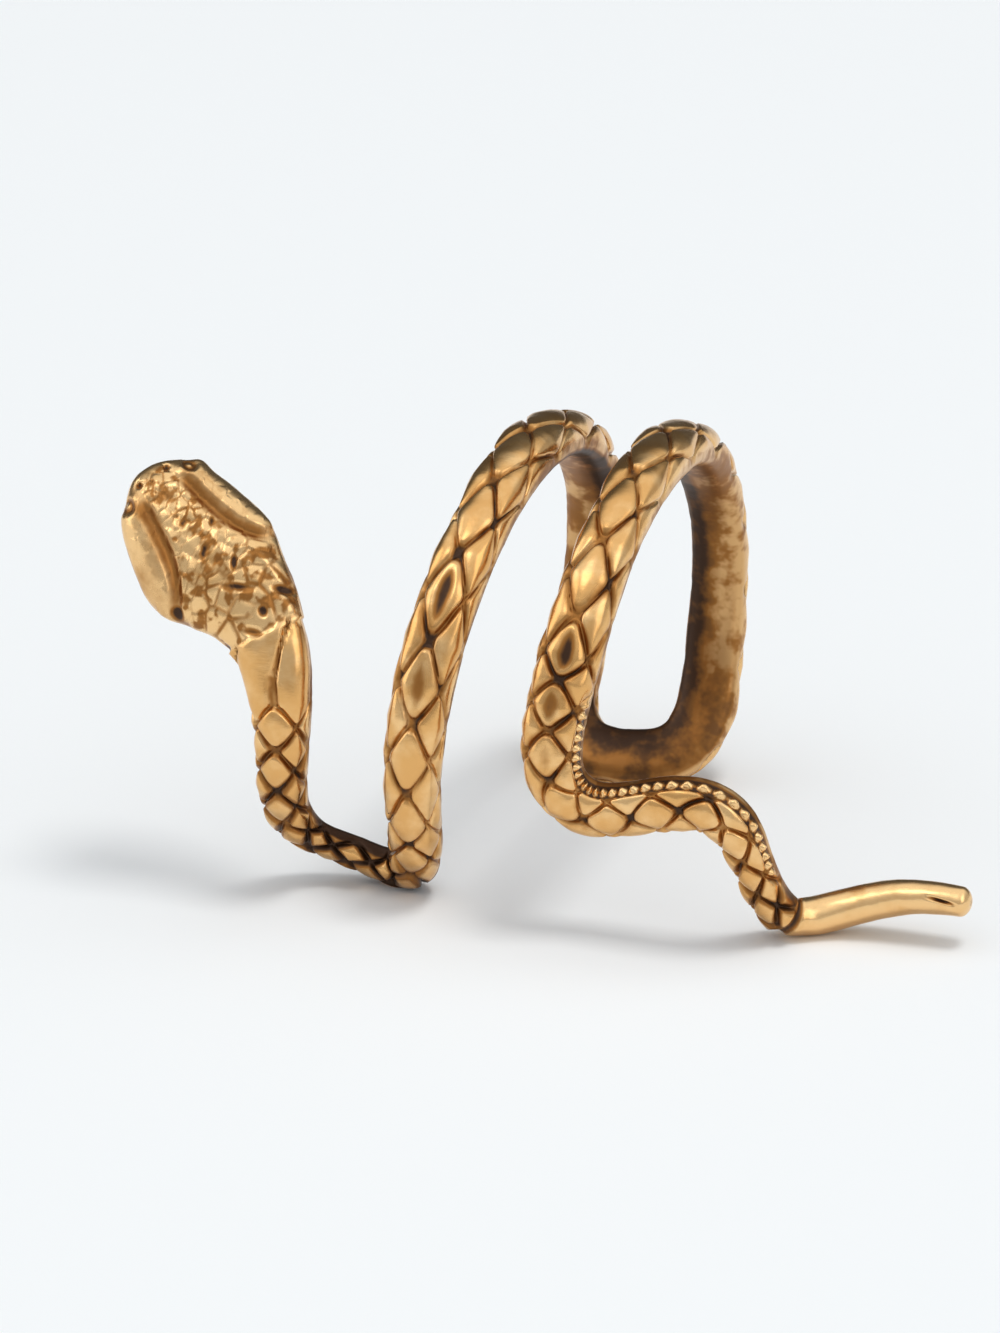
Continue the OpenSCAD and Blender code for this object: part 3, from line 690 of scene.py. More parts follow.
def add_body(cast, snake):
    """The scaled body, from the nape to the end of the scales."""
    first, last = math.ceil(NET[0][NET_ROW]), NET[-1][NET_ROW]
    row = np.concatenate([np.linspace(*LONG_ROWS, LONG_STEPS),
                          np.arange(first * STEPS, last * STEPS + 1) / STEPS])
    row = np.unique(np.round(row, 6))
    angle = ring_angles(1)
    frame = snake.frame(snake.net_at(row))
    wide, thick = frame[3:]
    above, below = (1 - snake.belly) * thick, snake.belly * thick
    points, lift, _ = section(frame, angle, wide / 2, wide / 2, above, below,
                              (BACK_POWER, BELLY_POWER))
    half = NET_COLUMNS / 2
    column = net_column(angle) + half
    row_long = np.gradient(snake.net_at(row), row)
    p = (row[:, None] + column[None, :]) / 2
    q = (row[:, None] - column[None, :]) / 2
    sunk = np.zeros(p.shape)
    for centre, share in SUNK_ROWS.items():
        from_p, from_q = p - (centre + half) / 2, q - (centre - half) / 2
        sunk[(np.abs(from_p) <= 0.5) & (np.abs(from_q) <= 0.5)] = share

    first, last = BEAD_ROWS
    beaded = between(row, (first, first + BEADS_FADE), (last - BEADS_FADE, last))[:, None]
    beaded = beaded * (1 - ease(column, *BEAD_COLUMNS))[None, :] * (angle >= 0)[None, :]
    over = np.sin(np.radians(angle))[None, :]
    dark = read(DARK_ROWS, row)[:, None]
    twist = PLATES_TWIST * (1 - ease_out(row, *LONG_ROWS))
    # The flanks, one edge of the darkest rows and the inside are darkened as painted shade
    numbers = cast.add(
        points, lift, net_row=row[:, None],
        net_column=net_column(angle)[None, :] + twist[:, None],
        net_pitch=pitch(row_long, column_width(wide, above))[:, None],
        scaled=ease(over, *SCALES_OVER) * (1 - beaded), beaded=beaded, sunk=sunk,
        dark=dark, inside=body_painted_shade(row, angle, dark))

    # Each quad is cut along the diagonal of the nearer groove
    middle_p = (p[:-1] + p[1:]) / 2
    middle_q = (q[:-1] + q[1:]) / 2
    off_p = np.abs(middle_p - np.round(middle_p))
    off_q = np.abs(middle_q - np.round(middle_q))
    cast.skin(numbers, turned=off_p < off_q)
    return numbers[0], numbers[-1]


def add_tail(cast, snake, joint, sizes):
    """The plain tail end, with a ring groove behind the last scale and a rounded tip."""
    tail_long = snake.long - snake.scales_end
    left = tail_long * (1 - np.arange(1, TAIL_RINGS + 1) / TAIL_RINGS) ** TIP_CLOSER
    s = snake.long - left
    angle = ring_angles(1)
    frame = snake.frame(s)
    wide, thick = frame[3:]
    rounded = ease(s, snake.scales_end, snake.scales_end + TAIL_ROUND_AT)
    above = thick * (1 - snake.belly + (snake.belly - 0.5) * rounded)
    below = thick * (snake.belly + (0.5 - snake.belly) * rounded)
    end = np.sqrt(np.clip(1 - np.clip(1 - left / TIP_LONG, 0, 1) ** 2, TIP_LEFT ** 2, 1))
    power = (BELLY_POWER + (ROUND_POWER - BELLY_POWER) * rounded)[:, None]
    half_wide = wide / 2 * end
    points, lift, _ = section(frame, angle, half_wide, half_wide, above * end, below * end,
                              (BACK_POWER, power))
    ring_at, ring_reach = TAIL_RING
    ring = hump(s, snake.scales_end + ring_at, ring_reach)[:, None]
    from_tip, round_angle, half_long, half_round = TAIL_NOTCH
    along = left[:, None] - from_tip
    round_way = (angle % 360)[None, :] - round_angle - NOTCH_SLANT * along
    notch = hump(along, 0, half_long) * hump(round_way, 0, half_round)
    points = points - (sizes.tail_groove / MM * (ring + notch))[..., None] * lift
    # Painted shade darkens the belly of the tail end
    belly = np.clip(-np.sin(np.radians(angle)), 0, 1)[None, :]
    numbers = cast.add(points, lift, hollow=np.clip(ring + NOTCH_DARK * notch, 0, 1),
                       inside=TAIL_BELLY_SHADE * belly)
    cast.skin(np.vstack([joint[None], numbers]))
    tip = snake.place(np.array([snake.long]))
    tip_number = cast.add(tip, unit(tip - snake.place(np.array([snake.long - TIP_WAY]))))
    cast.cap(tip_number[0], numbers[-1], first=False)


# Node trees

class Wire:
    """What a socket gives. Arithmetic on wires adds the Math nodes that work it out."""

    def __init__(self, socket):
        self.socket = socket
        self.tree = socket.id_data

    __add__ = __radd__ = lambda self, other: calculate("ADD", self, other)
    __sub__ = lambda self, other: calculate("SUBTRACT", self, other)
    __rsub__ = lambda self, other: calculate("SUBTRACT", other, self)
    __mul__ = __rmul__ = lambda self, other: calculate("MULTIPLY", self, other)
    __truediv__ = lambda self, other: calculate("DIVIDE", self, other)
    __rtruediv__ = lambda self, other: calculate("DIVIDE", other, self)
    __pow__ = lambda self, power: calculate("POWER", self, power)
    __abs__ = lambda self: calculate("ABSOLUTE", self)


def put(socket, value):
    """Sets an input to a value or links a wire to it."""
    if isinstance(value, Wire):
        value.tree.links.new(value.socket, socket)
    else:
        socket.default_value = value


def calculate(operation, *values, kind="ShaderNodeMath"):
    """A Math or Vector Math node on values, at least one of which is a wire."""
    tree = next(value.tree for value in values if isinstance(value, Wire))
    node = tree.nodes.new(kind)
    node.operation = operation
    for socket, value in zip(node.inputs, values):
        put(socket, value)
    return Wire(next(s for s in node.outputs if s.enabled))


def vector(operation, *values):
    return calculate(operation, *values, kind="ShaderNodeVectorMath")


def least(first, *others):
    for other in others:
        first = calculate("MINIMUM", first, other)
    return first


def most(first, *others):
    for other in others:
        first = calculate("MAXIMUM", first, other)
    return first


def add_node(tree, kind, settings=None, **inputs):
    """Adds a node, with its settings and its inputs by name. An input is a value or a wire."""
    node = tree.nodes.new(kind)
    for name, value in (settings or {}).items():
        setattr(node, name, value)
    for name, value in inputs.items():
        put(node.inputs[name.replace("_", " ")], value)
    return node


def wire(node, output=0):
    return Wire(node.outputs[output])


def wires(node):
    return {socket.name: Wire(socket) for socket in node.outputs}


def noise(tree, scale, detail=2.0, output=0, **inputs):
    """A noise from 0 to 1. Its scale is in waves to the metre."""
    return wire(add_node(tree, "ShaderNodeTexNoise", Scale=scale, Detail=detail, **inputs), output)


def named(tree, name, data_type="FLOAT"):
    """A named attribute, in geometry."""
    return wire(add_node(tree, "GeometryNodeInputNamedAttribute", {"data_type": data_type},
                         Name=name), "Attribute")


def smooth_step(value, low, high, to_low=0.0, to_high=1.0):
    """A Map Range node with an eased step, the same in shaders and in geometry."""
    node = add_node(value.tree, "ShaderNodeMapRange", {"interpolation_type": "SMOOTHSTEP"},
                    Value=value, From_Min=low, From_Max=high, To_Min=to_low, To_Max=to_high)
    return wire(node, "Result")


def fade(value, low, high):
    """An eased step from 1 at low to 0 at high."""
    return smooth_step(value, low, high, 1.0, 0.0)


# The relief of the scales, node by node

def net_lines(tree, row, column):
    """The two diagonal coordinates of the scale net. Odd rows have a scale in the middle column,
    so a groove lies where either is whole. Both wander, as grooves cut by hand do."""
    bend = noise(tree, BEND_WAVES, 1.0, "Color")
    bends = wires(add_node(tree, "ShaderNodeSeparateXYZ", Vector=bend))
    return tuple((bends[axis] - 0.5) * GROOVE_WANDER + both * 0.5
                 for axis, both in (("X", row + column), ("Y", row - column)))


def off_line(position):
    """Distance of a net coordinate from the nearest whole number."""
    return 0.5 - abs(calculate("FRACT", position) - 0.5)


def groove_distance(row, across, counter, rounding):
    """Share of the net's pitch from the nearest groove, plain and with the scales' corners
    rounded, so that a groove is widest where it crosses another. The plates keep their corners."""
    offs = off_line(across), off_line(counter)
    near = least(*offs)
    short = [most(rounding - off, 0.0) ** 2.0 for off in offs]
    rounded = rounding - calculate("SQRT", short[0] + short[1])
    corner = least(near, rounding) - rounded
    return near, near - corner * smooth_step(row, *CORNER_ROWS)


def groove_mask(tree, given, net_pitch, rounded, dark):
    """1 in the middle of a groove and 0 at its edge. Grooves are wider here and narrower there,
    and widest in the rows painted darkest, with patina and painted shade."""
    hand = noise(tree, HAND_WAVES, 1.0) * GROOVE_VARIES + GROOVE_LEAST
    half = least(given["Groove Width"] * 0.5, net_pitch * (WIDEST_GROOVE * MM))
    half = most(half * hand * (dark + 1.0), NARROWEST_GROOVE * MM)
    return fade(rounded * net_pitch * MM / half, *GROOVE_EDGE)


def chance_by_scale(tree, across, counter, seed):
    """One random number for each scale. A scale's number comes from its place in the net."""
    cell = calculate("FLOOR", across) * SCALES_APART + calculate("FLOOR", counter)
    chance = add_node(tree, "FunctionNodeRandomValue", {"data_type": "FLOAT"})
    inputs = {socket.identifier: socket for socket in chance.inputs}
    for name, value in (("Min_001", LOWEST_CROWN), ("Max_001", HIGHEST_CROWN), ("ID", cell),
                        ("Seed", seed)):
        put(inputs[name], value)
    return Wire(next(s for s in chance.outputs if s.identifier == "Value_001"))


def sunk_middle(tree, across, counter):
    """A long soft hollow in the middle of each sunk scale, from 1 to 0."""
    ahead, aside = (calculate("FRACT", way) - 0.5 for way in (across, counter))
    off_middle = (abs(ahead + aside) / SUNK_LONG) ** 2.0 + abs(ahead - aside) / SUNK_WIDE
    return fade(off_middle, 0.0, 1.0) * named(tree, "sunk")


def small_scales(tree, given, pebbled, spread):
    """Small uneven scales, each tilted its own way: their height, and the cracks between them."""
    place = wire(add_node(tree, "ShaderNodeCombineXYZ", X=named(tree, "crown_along"),
                          Y=named(tree, "crown_across")))
    per_mm = MM / given["Pebble Size"]
    pebble, edge = (
        wires(add_node(tree, "ShaderNodeTexVoronoi",
                       {"voronoi_dimensions": "2D", "feature": feature},
                       Vector=place, Scale=per_mm, Randomness=PEBBLE_UNEVEN))
        for feature in ("F1", "DISTANCE_TO_EDGE"))
    broken = spread * CRACK_VARIES + CRACK_LEAST
    crack = fade(edge["Distance"], 0.0, CRACK_WIDE) * broken * pebbled
    off_centre = vector("SUBTRACT", place, pebble["Position"])
    lean = vector("SUBTRACT", pebble["Color"], (0.5, 0.5, 0.5))
    tilt = vector("DOT_PRODUCT", off_centre, lean) * per_mm * PEBBLE_TILT
    return (tilt - crack) * pebbled * given["Pebble Height"], crack


def small_beads(tree, given, row, column):
    """Beads, two to a row: their height, and the dark places between them."""
    beaded = named(tree, "beaded")
    along = (calculate("FRACT", row * 2.0) - 0.5) / BEAD_LONG
    aside = (column - BEAD_COLUMN) / BEAD_WIDE
    off_bead = calculate("SQRT", along ** 2.0 + aside ** 2.0)
    bead = fade(off_bead, *BEAD_EDGE) * beaded
    between_beads = (beaded - bead) * smooth_step(off_bead, *BEAD_GAP)
    return (bead - beaded * BEAD_SUNK) * given["Bead Height"], between_beads


def stain_and_shade_mask(tree, groove, sunk, crack, between_beads, rounded, scaled, pebbled, dark, spread):
    """Where patina stays, with painted shade in the eye sockets and in the darkest rows. It spreads
    from the grooves over the margins of the scales, here more, there less. In the darkest rows,
    as patina and painted shade, it leaves only the middle of each scale free, and the crown of the
    head is stained in patches."""
    reach = dark * MARGIN_WIDER + spread * MARGIN_SPREADS
    margin = smooth_step(rounded / reach, *MARGIN_EDGE, MARGIN_STAIN, 0.0) * scaled
    margin = margin * (dark * MARGIN_DARKER + 1.0)
    filled = dark * FILLED_BY_DARK + smooth_step(spread, *FILLED_SPREAD, LEAST_FILLED, 1.0)
    filled = least(filled, 1.0)
    patches = noise(tree, CROWN_WAVES)
    patch = smooth_step(patches, *PATCH_EDGE, LEAST_PATCH, PATCH_STAIN) * pebbled
    return most(named(tree, "hollow"), groove * filled, sunk, margin, between_beads * BEAD_STAIN,
                crack * CRACK_STAIN, patch)


def title(name):
    return name.replace("_", " ").title()


def scale_relief_tree():
    """Geometry Nodes tree that raises the scales on the swept body. It reads the net's row and
    column at each point, cuts the grooves between the scales and crowns each scale. On the crown
    of the head small uneven scales take the net's place, and beads along one edge."""
    tree = bpy.data.node_groups.new("Snake Scale Relief", "GeometryNodeTree")
    for name, kind in (("Geometry", "Geometry"), *((title(size), "Float") for size in RELIEF_SIZES),
                       ("Seed", "Int"), ("Finish", "Material")):
        tree.interface.new_socket(name, in_out="INPUT", socket_type="NodeSocket" + kind)
    tree.interface.new_socket("Geometry", in_out="OUTPUT", socket_type="NodeSocketGeometry")
    given = wires(tree.nodes.new("NodeGroupInput"))

    row, column, net_pitch, scaled, pebbled, dark = (named(tree, name) for name in (
        "net_row", "net_column", "net_pitch", "scaled", "pebbled", "dark"))
    spread = noise(tree, SPREAD_WAVES)
    across, counter = net_lines(tree, row, column)
    near, rounded = groove_distance(row, across, counter, given["Corner Rounding"])
    groove = groove_mask(tree, given, net_pitch, rounded, dark) * scaled
    chance = chance_by_scale(tree, across, counter, given["Seed"])

    cut = groove * least(given["Groove Depth"], net_pitch * (DEEPEST_GROOVE * MM))
    dome = 1.0 - (1.0 - near * 2.0) ** 2.0
    crown = dome * given["Crown Height"] * chance * scaled
    sunk = sunk_middle(tree, across, counter)
    pebble_height, crack = small_scales(tree, given, pebbled, spread)
    bead_height, between_beads = small_beads(tree, given, row, column)
    wave = (noise(tree, CAST_WAVES) - 0.5) * given["Unevenness"]
    height = crown + pebble_height + bead_height + wave - cut - sunk * given["Sunk Depth"]
    stain = stain_and_shade_mask(tree, groove, sunk, crack, between_beads, rounded, scaled, pebbled, dark,
                       spread)

    offset = wire(add_node(tree, "ShaderNodeVectorMath", {"operation": "SCALE"},
                           Vector=named(tree, "lift", "FLOAT_VECTOR"), Scale=height))
    made = wire(add_node(tree, "GeometryNodeSetPosition", Geometry=given["Geometry"],
                         Offset=offset))
    for name, value in (("groove", stain), ("scale_tone", chance * scaled)):
        made = wire(add_node(tree, "GeometryNodeStoreNamedAttribute",
                             {"data_type": "FLOAT", "domain": "POINT"},
                             Geometry=made, Name=name, Value=value))
    made = wire(add_node(tree, "GeometryNodeRealizeInstances", Geometry=made))
    made = wire(add_node(tree, "GeometryNodeSetMaterial", Geometry=made, Material=given["Finish"]))
    add_node(tree, "NodeGroupOutput", Geometry=made)
    return tree


def apply_tree(piece, tree, **values):
    """Gives a piece the tree with its inputs, and makes the result its plain mesh."""
    modifier = piece.modifiers.new(tree.name, "NODES")
    modifier.node_group = tree
    sockets = {s.name: s.identifier for s in tree.interface.items_tree if s.in_out == "INPUT"}
    for name, value in values.items():
        modifier[sockets[title(name)]] = value
    depsgraph = bpy.context.evaluated_depsgraph_get()
    made = bpy.data.meshes.new_from_object(piece.evaluated_get(depsgraph))
    piece.modifiers.remove(modifier)
    old, piece.data = piece.data, made
    bpy.data.meshes.remove(old)


# Finish

def shader_group(name, inputs, outputs):
    """An empty shader group with named numbers: its tree, its wires in and its sockets out."""
    tree = bpy.data.node_groups.new(name, "ShaderNodeTree")
    for socket, default in inputs.items():
        made = tree.interface.new_socket(socket, in_out="INPUT", socket_type="NodeSocketFloat")
        made.default_value = default
    for socket in outputs:
        tree.interface.new_socket(socket, in_out="OUTPUT", socket_type="NodeSocketFloat")
    given = wires(tree.nodes.new("NodeGroupInput"))
    return tree, given, tree.nodes.new("NodeGroupOutput").inputs


def patina_and_shade_group():
    """Where patina and painted shade lie: a brown stain at the edges of the grooves, a dark core in
    their depth, and painted shade in soft patches on the inside."""
    tree, given, out = shader_group(
        "Groove Patina", {"Groove": 0.0, "Inside": 0.0, "Spread": 0.55, "Patch Scale": PATCH_WAVES},
        ("Stain", "Core", "Tone"))
    where = wire(add_node(tree, "ShaderNodeTexCoord"), "Object")
    patches = noise(tree, given["Patch Scale"], 3.0, Vector=where, Roughness=0.6)
    uneven = (patches - 0.5) * given["Spread"] * smooth_step(given["Groove"], 0.0, PATCHES_FULL)
    groove = given["Groove"] + uneven
    shade_patches = smooth_step(patches, *SHADE_PATCHES)
    # The inside is darkened as painted shade, brown and dark where deepest, broken up by patches
    inner = smooth_step(given["Inside"] + shade_patches * SHADE_BY_PATCHES, *INNER_SHADE)
    deep = smooth_step(given["Inside"] + shade_patches * DEEP_SHADE_BY_PATCHES, *INNER_DEEP_SHADE)
    put(out["Stain"], most(smooth_step(groove, *GROOVE_STAIN), inner))
    put(out["Core"], most(smooth_step(groove, *GROOVE_CORE), deep))
    put(out["Tone"], patches)
    return tree


def polish_group():
    """Hand polish: fine hairlines and soft pits, as a roughness and a height."""
    tree, given, out = shader_group(
        "Hand Polish", {"Roughness": 0.25, "Variation": 0.12, "Scale": 1.0},
        ("Roughness", "Height"))
    where = wire(add_node(tree, "ShaderNodeTexCoord"), "Object")
    stretched = wire(add_node(tree, "ShaderNodeMapping", Vector=where, Scale=HAIRLINE_STRETCH,
                              Rotation=HAIRLINE_TURN))
    lines = noise(tree, given["Scale"] * HAIRLINE_WAVES, Vector=stretched)
    pits = noise(tree, given["Scale"] * PIT_WAVES, 4.0, Vector=where)
    both = lines * HAIRLINES + pits * PITS
    put(out["Roughness"], (both - 0.5) * given["Variation"] + given["Roughness"])
    put(out["Height"], both)
    return tree


def mix_colours(tree, share, first, second):
    node = add_node(tree, "ShaderNodeMix", {"data_type": "RGBA"}, Factor=share)
    colours = [socket for socket in node.inputs if socket.type == "RGBA"]
    put(colours[0], first)
    put(colours[1], second)
    return Wire(next(socket for socket in node.outputs if socket.type == "RGBA"))


def antique_gold(finish):
    """Polished gold plate over brass, with brown stain and dark patina in the hollows, and painted
    shade in the same colours on the inside, under the flanks and in the eye sockets.
    """
    material = bpy.data.materials.new("Antique Gold")
    material.use_nodes = True
    tree = material.node_tree
    shader = tree.nodes["Principled BSDF"].inputs
    groove, inside, scale_tone = (
        wire(add_node(tree, "ShaderNodeAttribute", {"attribute_name": name}), "Fac")
        for name in ("groove", "inside", "scale_tone"))
    patina = wires(add_node(tree, "ShaderNodeGroup", {"node_tree": patina_and_shade_group()},
                            Groove=groove, Inside=inside))
    polish = wires(add_node(tree, "ShaderNodeGroup", {"node_tree": polish_group()},
                            Roughness=finish.roughness))
    tone = smooth_step(scale_tone * SCALE_CHANCE + patina["Tone"], *DULL_PATCHES)
    colour = mix_colours(tree, tone, (*finish.gold, 1), (*finish.deep_gold, 1))
    # Stain and core carry both patina and painted shade
    colour = mix_colours(tree, patina["Stain"], colour, (*finish.stain, 1))
    put(shader["Base Color"], mix_colours(tree, patina["Core"], colour, (*finish.patina, 1)))
    put(shader["Metallic"], 1.0 - patina["Core"] * CORE_DULLER)
    put(shader["Roughness"], patina["Stain"] * STAIN_ROUGHER + polish["Roughness"])
    put(shader["Normal"], wire(add_node(
        tree, "ShaderNodeBump", Strength=finish.cast_grain, Distance=GRAIN_DEPTH,
        Height=polish["Height"])))
    return material


def plain_finish(name, colour, roughness):
    material = bpy.data.materials.new(name)
    material.use_nodes = True
    shader = material.node_tree.nodes["Principled BSDF"].inputs
    put(shader["Base Color"], (*colour, 1))
    put(shader["Roughness"], roughness)
    return material


# What a user would change

class RingSizes(bpy.types.PropertyGroup):
    finger_diameter: bpy.props.FloatProperty(
        name="Finger Hole", description="Diameter of the hole for the finger",
        default=18.4 * MM, unit="LENGTH", precision=5)
    belly_share: bpy.props.FloatProperty(
        name="Belly Share", description="Share of the thickness that lies inside the widest line",
        default=0.38, subtype="FACTOR", min=0.2, max=0.5)
    turn_easing: bpy.props.FloatProperty(
        name="Turn Easing", description="Length over which a tight turn's direction is averaged",
        default=0.7 * MM, unit="LENGTH", precision=5)
    head_length: bpy.props.FloatProperty(
        name="Head Length", description="From the snout to the nape",
        default=8.9 * MM, unit="LENGTH", precision=5)
    tail_end_length: bpy.props.FloatProperty(
        name="Tail End Length", description="Length of the plain tail end",
        default=8.5 * MM, unit="LENGTH", precision=5)
    tail_groove: bpy.props.FloatProperty(
        name="Tail Groove", description="Depth of the ring groove behind the last scale",
        default=0.16 * MM, unit="LENGTH", precision=5)


class ScaleSizes(bpy.types.PropertyGroup):
    groove_depth: bpy.props.FloatProperty(
        name="Groove Depth", description="Depth of the grooves between the scales",
        default=0.22 * MM, unit="LENGTH", precision=5)
    groove_width: bpy.props.FloatProperty(
        name="Groove Width", description="Width of the grooves at the top",
        default=0.2 * MM, unit="LENGTH", precision=5)
    corner_rounding: bpy.props.FloatProperty(
        name="Corner Rounding", description="Share of a scale's width at which corners round off",
        default=0.2, subtype="FACTOR", min=0, max=0.5)
    crown_height: bpy.props.FloatProperty(
        name="Crown Height", description="How far the middle of a scale stands above its rim",
        default=0.15 * MM, unit="LENGTH", precision=5)
    sunk_depth: bpy.props.FloatProperty(
        name="Sunk Depth", description="How deep the middle of the sunk scales lies",
        default=0.15 * MM, unit="LENGTH", precision=5)
    bead_height: bpy.props.FloatProperty(
        name="Bead Height", description="Height of the beads along the edge of the third turn",
        default=0.22 * MM, unit="LENGTH", precision=5)
    pebble_size: bpy.props.FloatProperty(
        name="Pebble Size", description="Width of the small uneven scales on the crown",
        default=0.48 * MM, unit="LENGTH", precision=5)
    pebble_height: bpy.props.FloatProperty(
        name="Pebble Height", description="Height of the small uneven scales on the crown",
        default=0.05 * MM, unit="LENGTH", precision=5)
    unevenness: bpy.props.FloatProperty(
        name="Unevenness", description="Height of the soft waves left by casting and polishing",
        default=0.07 * MM, unit="LENGTH", precision=5)
    seed: bpy.props.IntProperty(
        name="Seed", description="Seed of the scales' random heights", default=7)


class Finish(bpy.types.PropertyGroup):
    gold: bpy.props.FloatVectorProperty(
        name="Gold", description="Colour of the polished tops", subtype="COLOR",
        default=(0.88, 0.57, 0.265))
    deep_gold: bpy.props.FloatVectorProperty(
        name="Deep Gold", description="Colour of the duller patches", subtype="COLOR",
        default=(0.74, 0.41, 0.145))
    # Also the colour of the painted shade on the inside and under the flanks
    stain: bpy.props.FloatVectorProperty(
        name="Stain", description="Colour of the brown stain at the edges of the hollows",
        subtype="COLOR", default=(0.34, 0.145, 0.037))
    # Also the colour of the deepest painted shade
    patina: bpy.props.FloatVectorProperty(
        name="Patina", description="Colour of the dark patina in the hollows", subtype="COLOR",
        default=(0.045, 0.018, 0.006))
    roughness: bpy.props.FloatProperty(
        name="Roughness", description="Roughness of the polished tops", default=0.24,
        subtype="FACTOR", min=0, max=1)
    cast_grain: bpy.props.FloatProperty(
        name="Cast Grain", description="Strength of the fine bumps", default=0.35,
        subtype="FACTOR", min=0, max=1)


class Studio(bpy.types.PropertyGroup):
    azimuth: bpy.props.FloatProperty(
        name="Camera Azimuth", description="Angle of the camera to the right of the front",
        default=math.radians(16), subtype="ANGLE")
    elevation: bpy.props.FloatProperty(
        name="Camera Elevation", description="Angle of the camera above the floor",
        default=math.radians(21), subtype="ANGLE")
    distance: bpy.props.FloatProperty(
        name="Camera Distance", description="From the camera to the middle of the finger hole",
        default=0.28, unit="LENGTH")
    floor_colour: bpy.props.FloatVectorProperty(
        name="Floor", description="Colour of the floor", subtype="COLOR",
        default=(0.89, 0.91, 0.92))
    sky: bpy.props.FloatProperty(
        name="Sky", description="Brightness of the soft light from above", default=1.1, min=0)
    horizon: bpy.props.FloatProperty(
        name="Horizon", description="Brightness of the room in front and beside", default=0.58,
        min=0)
    backdrop: bpy.props.FloatProperty(
        name="Backdrop", description="Brightness of the room low down behind the ring",
        default=0.1, min=0)


# The picture's frame, in pixels, and where the middle of the finger hole shows in it
PICTURE_WIDE = 1000
PICTURE_MIDDLE = (500.0, 666.5)
HOLE_SHOWS_AT = (550.0, 663.5)
PIXELS_PER_MM = 23.0
SENSOR = 36.0

# Lights: name, azimuth and elevation in degrees, distance, width and height in metres, watts, and
# what it does: light the floor, or show in the metal. Azimuth 0 is in front and 90 is on the right.
FLOOR, METAL = "floor", "metal"
LIGHT_COLOURS = {FLOOR: (1.0, 0.99, 0.97), METAL: (1.0, 0.98, 0.95)}
LIGHTS = (
    ("Window", 80, 75, 1.5, 0.46, 0.38, 7.5, FLOOR),
    ("Back", 190, 52, 1.5, 1.20, 1.00, 0.4, FLOOR),
    ("Left Panel", 285, 22, 0.5, 0.30, 0.40, 0.42, METAL),
    ("Right Panel", 62, 30, 0.5, 0.28, 0.36, 0.34, METAL),
    ("Front", -28, 56, 0.45, 0.18, 0.14, 0.13, METAL),
)
# The dim room: its azimuth in degrees, and the share of that way at which it starts and is full
DIM_AZIMUTH = 200
DIM_FROM = 0.25
DIM_FULL = 0.7
# Sines of the elevations between which the light from above sets in, and its colour
SKY_FROM = 0.35
SKY_FULL = 0.85
SKY_COLOUR = (0.96, 0.98, 1.0, 1)
FLOOR_HALF = 0.9
FLOOR_ROUGHNESS = 0.7


def direction(azimuth, elevation):
    """Unit vector towards an azimuth and elevation in radians."""
    flat = math.cos(elevation)
    return Vector((math.sin(azimuth) * flat, -math.cos(azimuth) * flat, math.sin(elevation)))


def aim(thing, target):
    thing.rotation_euler = (thing.location - target).to_track_quat("Z", "Y").to_euler()


def link(name, data):
    made = bpy.data.objects.new(name, data)
    bpy.context.scene.collection.objects.link(made)
    return made


def room(studio):
    """Soft light from above, dimmer towards the horizon, and a dim room behind."""
    world = bpy.data.worlds.new("Studio")
    world.use_nodes = True
    tree = world.node_tree
    towards = wire(add_node(tree, "ShaderNodeTexCoord"), "Generated")
    height = wire(add_node(tree, "ShaderNodeSeparateXYZ", Vector=towards), "Z")
    sky = smooth_step(height, SKY_FROM, SKY_FULL, studio.horizon, studio.sky)
    behind = vector("DOT_PRODUCT", towards, direction(math.radians(DIM_AZIMUTH), 0))
    background = tree.nodes["Background"].inputs
    put(background["Color"], SKY_COLOUR)
    put(background["Strength"], smooth_step(behind, DIM_FROM, DIM_FULL, sky, studio.backdrop))
    return world


class OBJECT_OT_snake_ring(bpy.types.Operator):
    """Builds the cast snake ring and gives it its antique gold finish"""
    bl_idname = "object.build_snake_ring"
    bl_label = "Build Snake Ring"

    def execute(self, context):
        sizes = context.scene.ring_sizes
        scales = context.scene.scale_sizes
        snake = Snake(sizes)
        cast = Cast()
        nape = add_head(cast, snake)
        first, last = add_body(cast, snake)
        cast.seam(nape, first)
        add_tail(cast, snake, last, sizes)
        ring = link("snake_ring_cast", cast.mesh("snake_ring_cast"))
        finish = antique_gold(context.scene.ring_finish)
        apply_tree(ring, scale_relief_tree(), finish=finish, seed=scales.seed,
                   **{name: getattr(scales, name) for name in RELIEF_SIZES})
        ring.data.polygons.foreach_set("use_smooth", [True] * len(ring.data.polygons))
        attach(ring, "root")
        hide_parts("snake_ring")
        return {"FINISHED"}


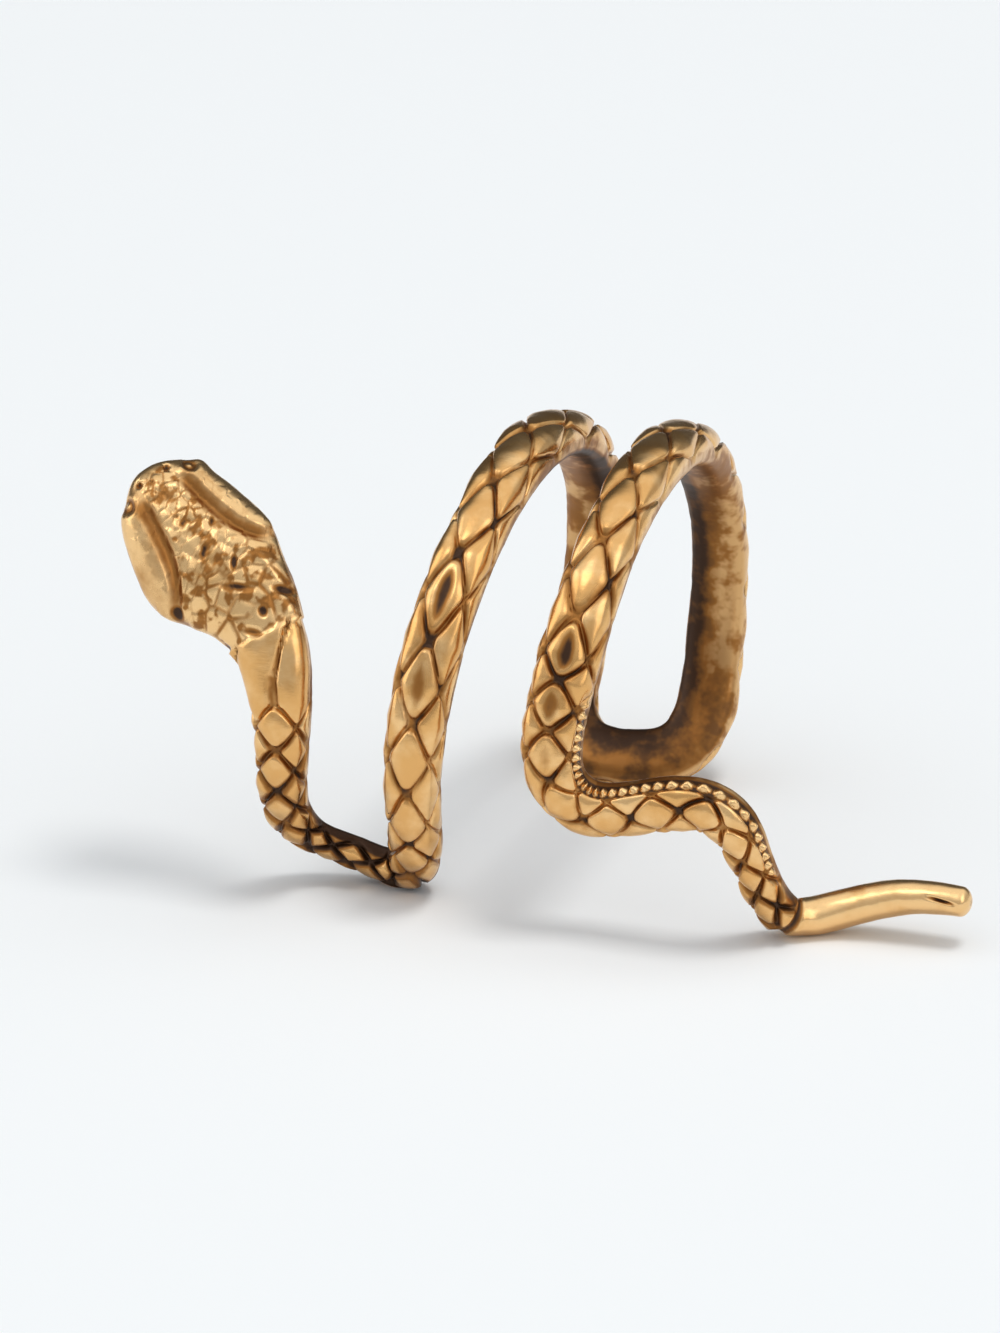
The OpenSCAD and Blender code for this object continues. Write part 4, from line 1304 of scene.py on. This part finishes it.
class OBJECT_OT_studio(bpy.types.Operator):
    """Sets the pale floor, the soft lights and the camera"""
    bl_idname = "object.build_ring_studio"
    bl_label = "Build Studio"

    def execute(self, context):
        studio = context.scene.ring_studio
        floor = bpy.data.meshes.new("floor")
        corners = [(x * FLOOR_HALF, y * FLOOR_HALF, CAD_LOW.z)
                   for x, y in ((-1, -1), (1, -1), (1, 1), (-1, 1))]
        floor.from_pydata(corners, [], [(0, 1, 2, 3)])
        floor.materials.append(plain_finish("Pale Floor", studio.floor_colour, FLOOR_ROUGHNESS))
        link("floor", floor)

        for name, azimuth, elevation, distance, wide, high, watts, task in LIGHTS:
            data = bpy.data.lights.new(name, "AREA")
            data.shape = "RECTANGLE"
            data.size, data.size_y = wide, high
            data.energy, data.color = watts, LIGHT_COLOURS[task]
            lamp = link(name, data)
            lamp.location = direction(math.radians(azimuth), math.radians(elevation)) * distance
            lamp.visible_diffuse = task == FLOOR
            lamp.visible_glossy = task == METAL
            aim(lamp, Vector())

        context.scene.world = room(studio)
        context.scene.view_settings.view_transform = "Standard"

        data = bpy.data.cameras.new("Camera")
        data.sensor_width = SENSOR
        data.sensor_fit = "HORIZONTAL"
        data.lens = PIXELS_PER_MM * studio.distance / MM / PICTURE_WIDE * SENSOR
        data.clip_start, data.clip_end = 0.01, 10
        camera = link("Camera", data)
        towards = direction(studio.azimuth, studio.elevation)
        camera.location = towards * studio.distance
        right = Vector((math.cos(studio.azimuth), math.sin(studio.azimuth), 0))
        up = towards.cross(right)
        across = (PICTURE_MIDDLE[0] - HOLE_SHOWS_AT[0]) / PIXELS_PER_MM * MM
        down = (PICTURE_MIDDLE[1] - HOLE_SHOWS_AT[1]) / PIXELS_PER_MM * MM
        aim(camera, right * across - up * down)
        context.scene.camera = camera
        return {"FINISHED"}


class VIEW3D_PT_snake_ring(bpy.types.Panel):
    """Sizes, finish and studio of the ring"""
    bl_label = "Snake Ring"
    bl_idname = "VIEW3D_PT_snake_ring"
    bl_space_type = "VIEW_3D"
    bl_region_type = "UI"
    bl_category = "Snake Ring"

    def draw(self, context):
        for group in GROUPS:
            box = self.layout.box()
            box.label(text=title(group))
            for name in GROUPS[group].__annotations__:
                box.prop(getattr(context.scene, group), name)
        for operator in OPERATORS:
            self.layout.operator(operator.bl_idname)


GROUPS = {"ring_sizes": RingSizes, "scale_sizes": ScaleSizes, "ring_finish": Finish,
          "ring_studio": Studio}
OPERATORS = (OBJECT_OT_studio, OBJECT_OT_snake_ring)
CLASSES = (*GROUPS.values(), *OPERATORS, VIEW3D_PT_snake_ring)


def register():
    for cls in CLASSES:
        bpy.utils.register_class(cls)
    for name, group in GROUPS.items():
        setattr(bpy.types.Scene, name, bpy.props.PointerProperty(type=group))


def unregister():
    for name in GROUPS:
        delattr(bpy.types.Scene, name)
    for cls in reversed(CLASSES):
        bpy.utils.unregister_class(cls)


def main():
    register()
    bpy.ops.object.build_ring_studio()
    bpy.ops.object.build_snake_ring()


if __name__ == "__main__":
    main()
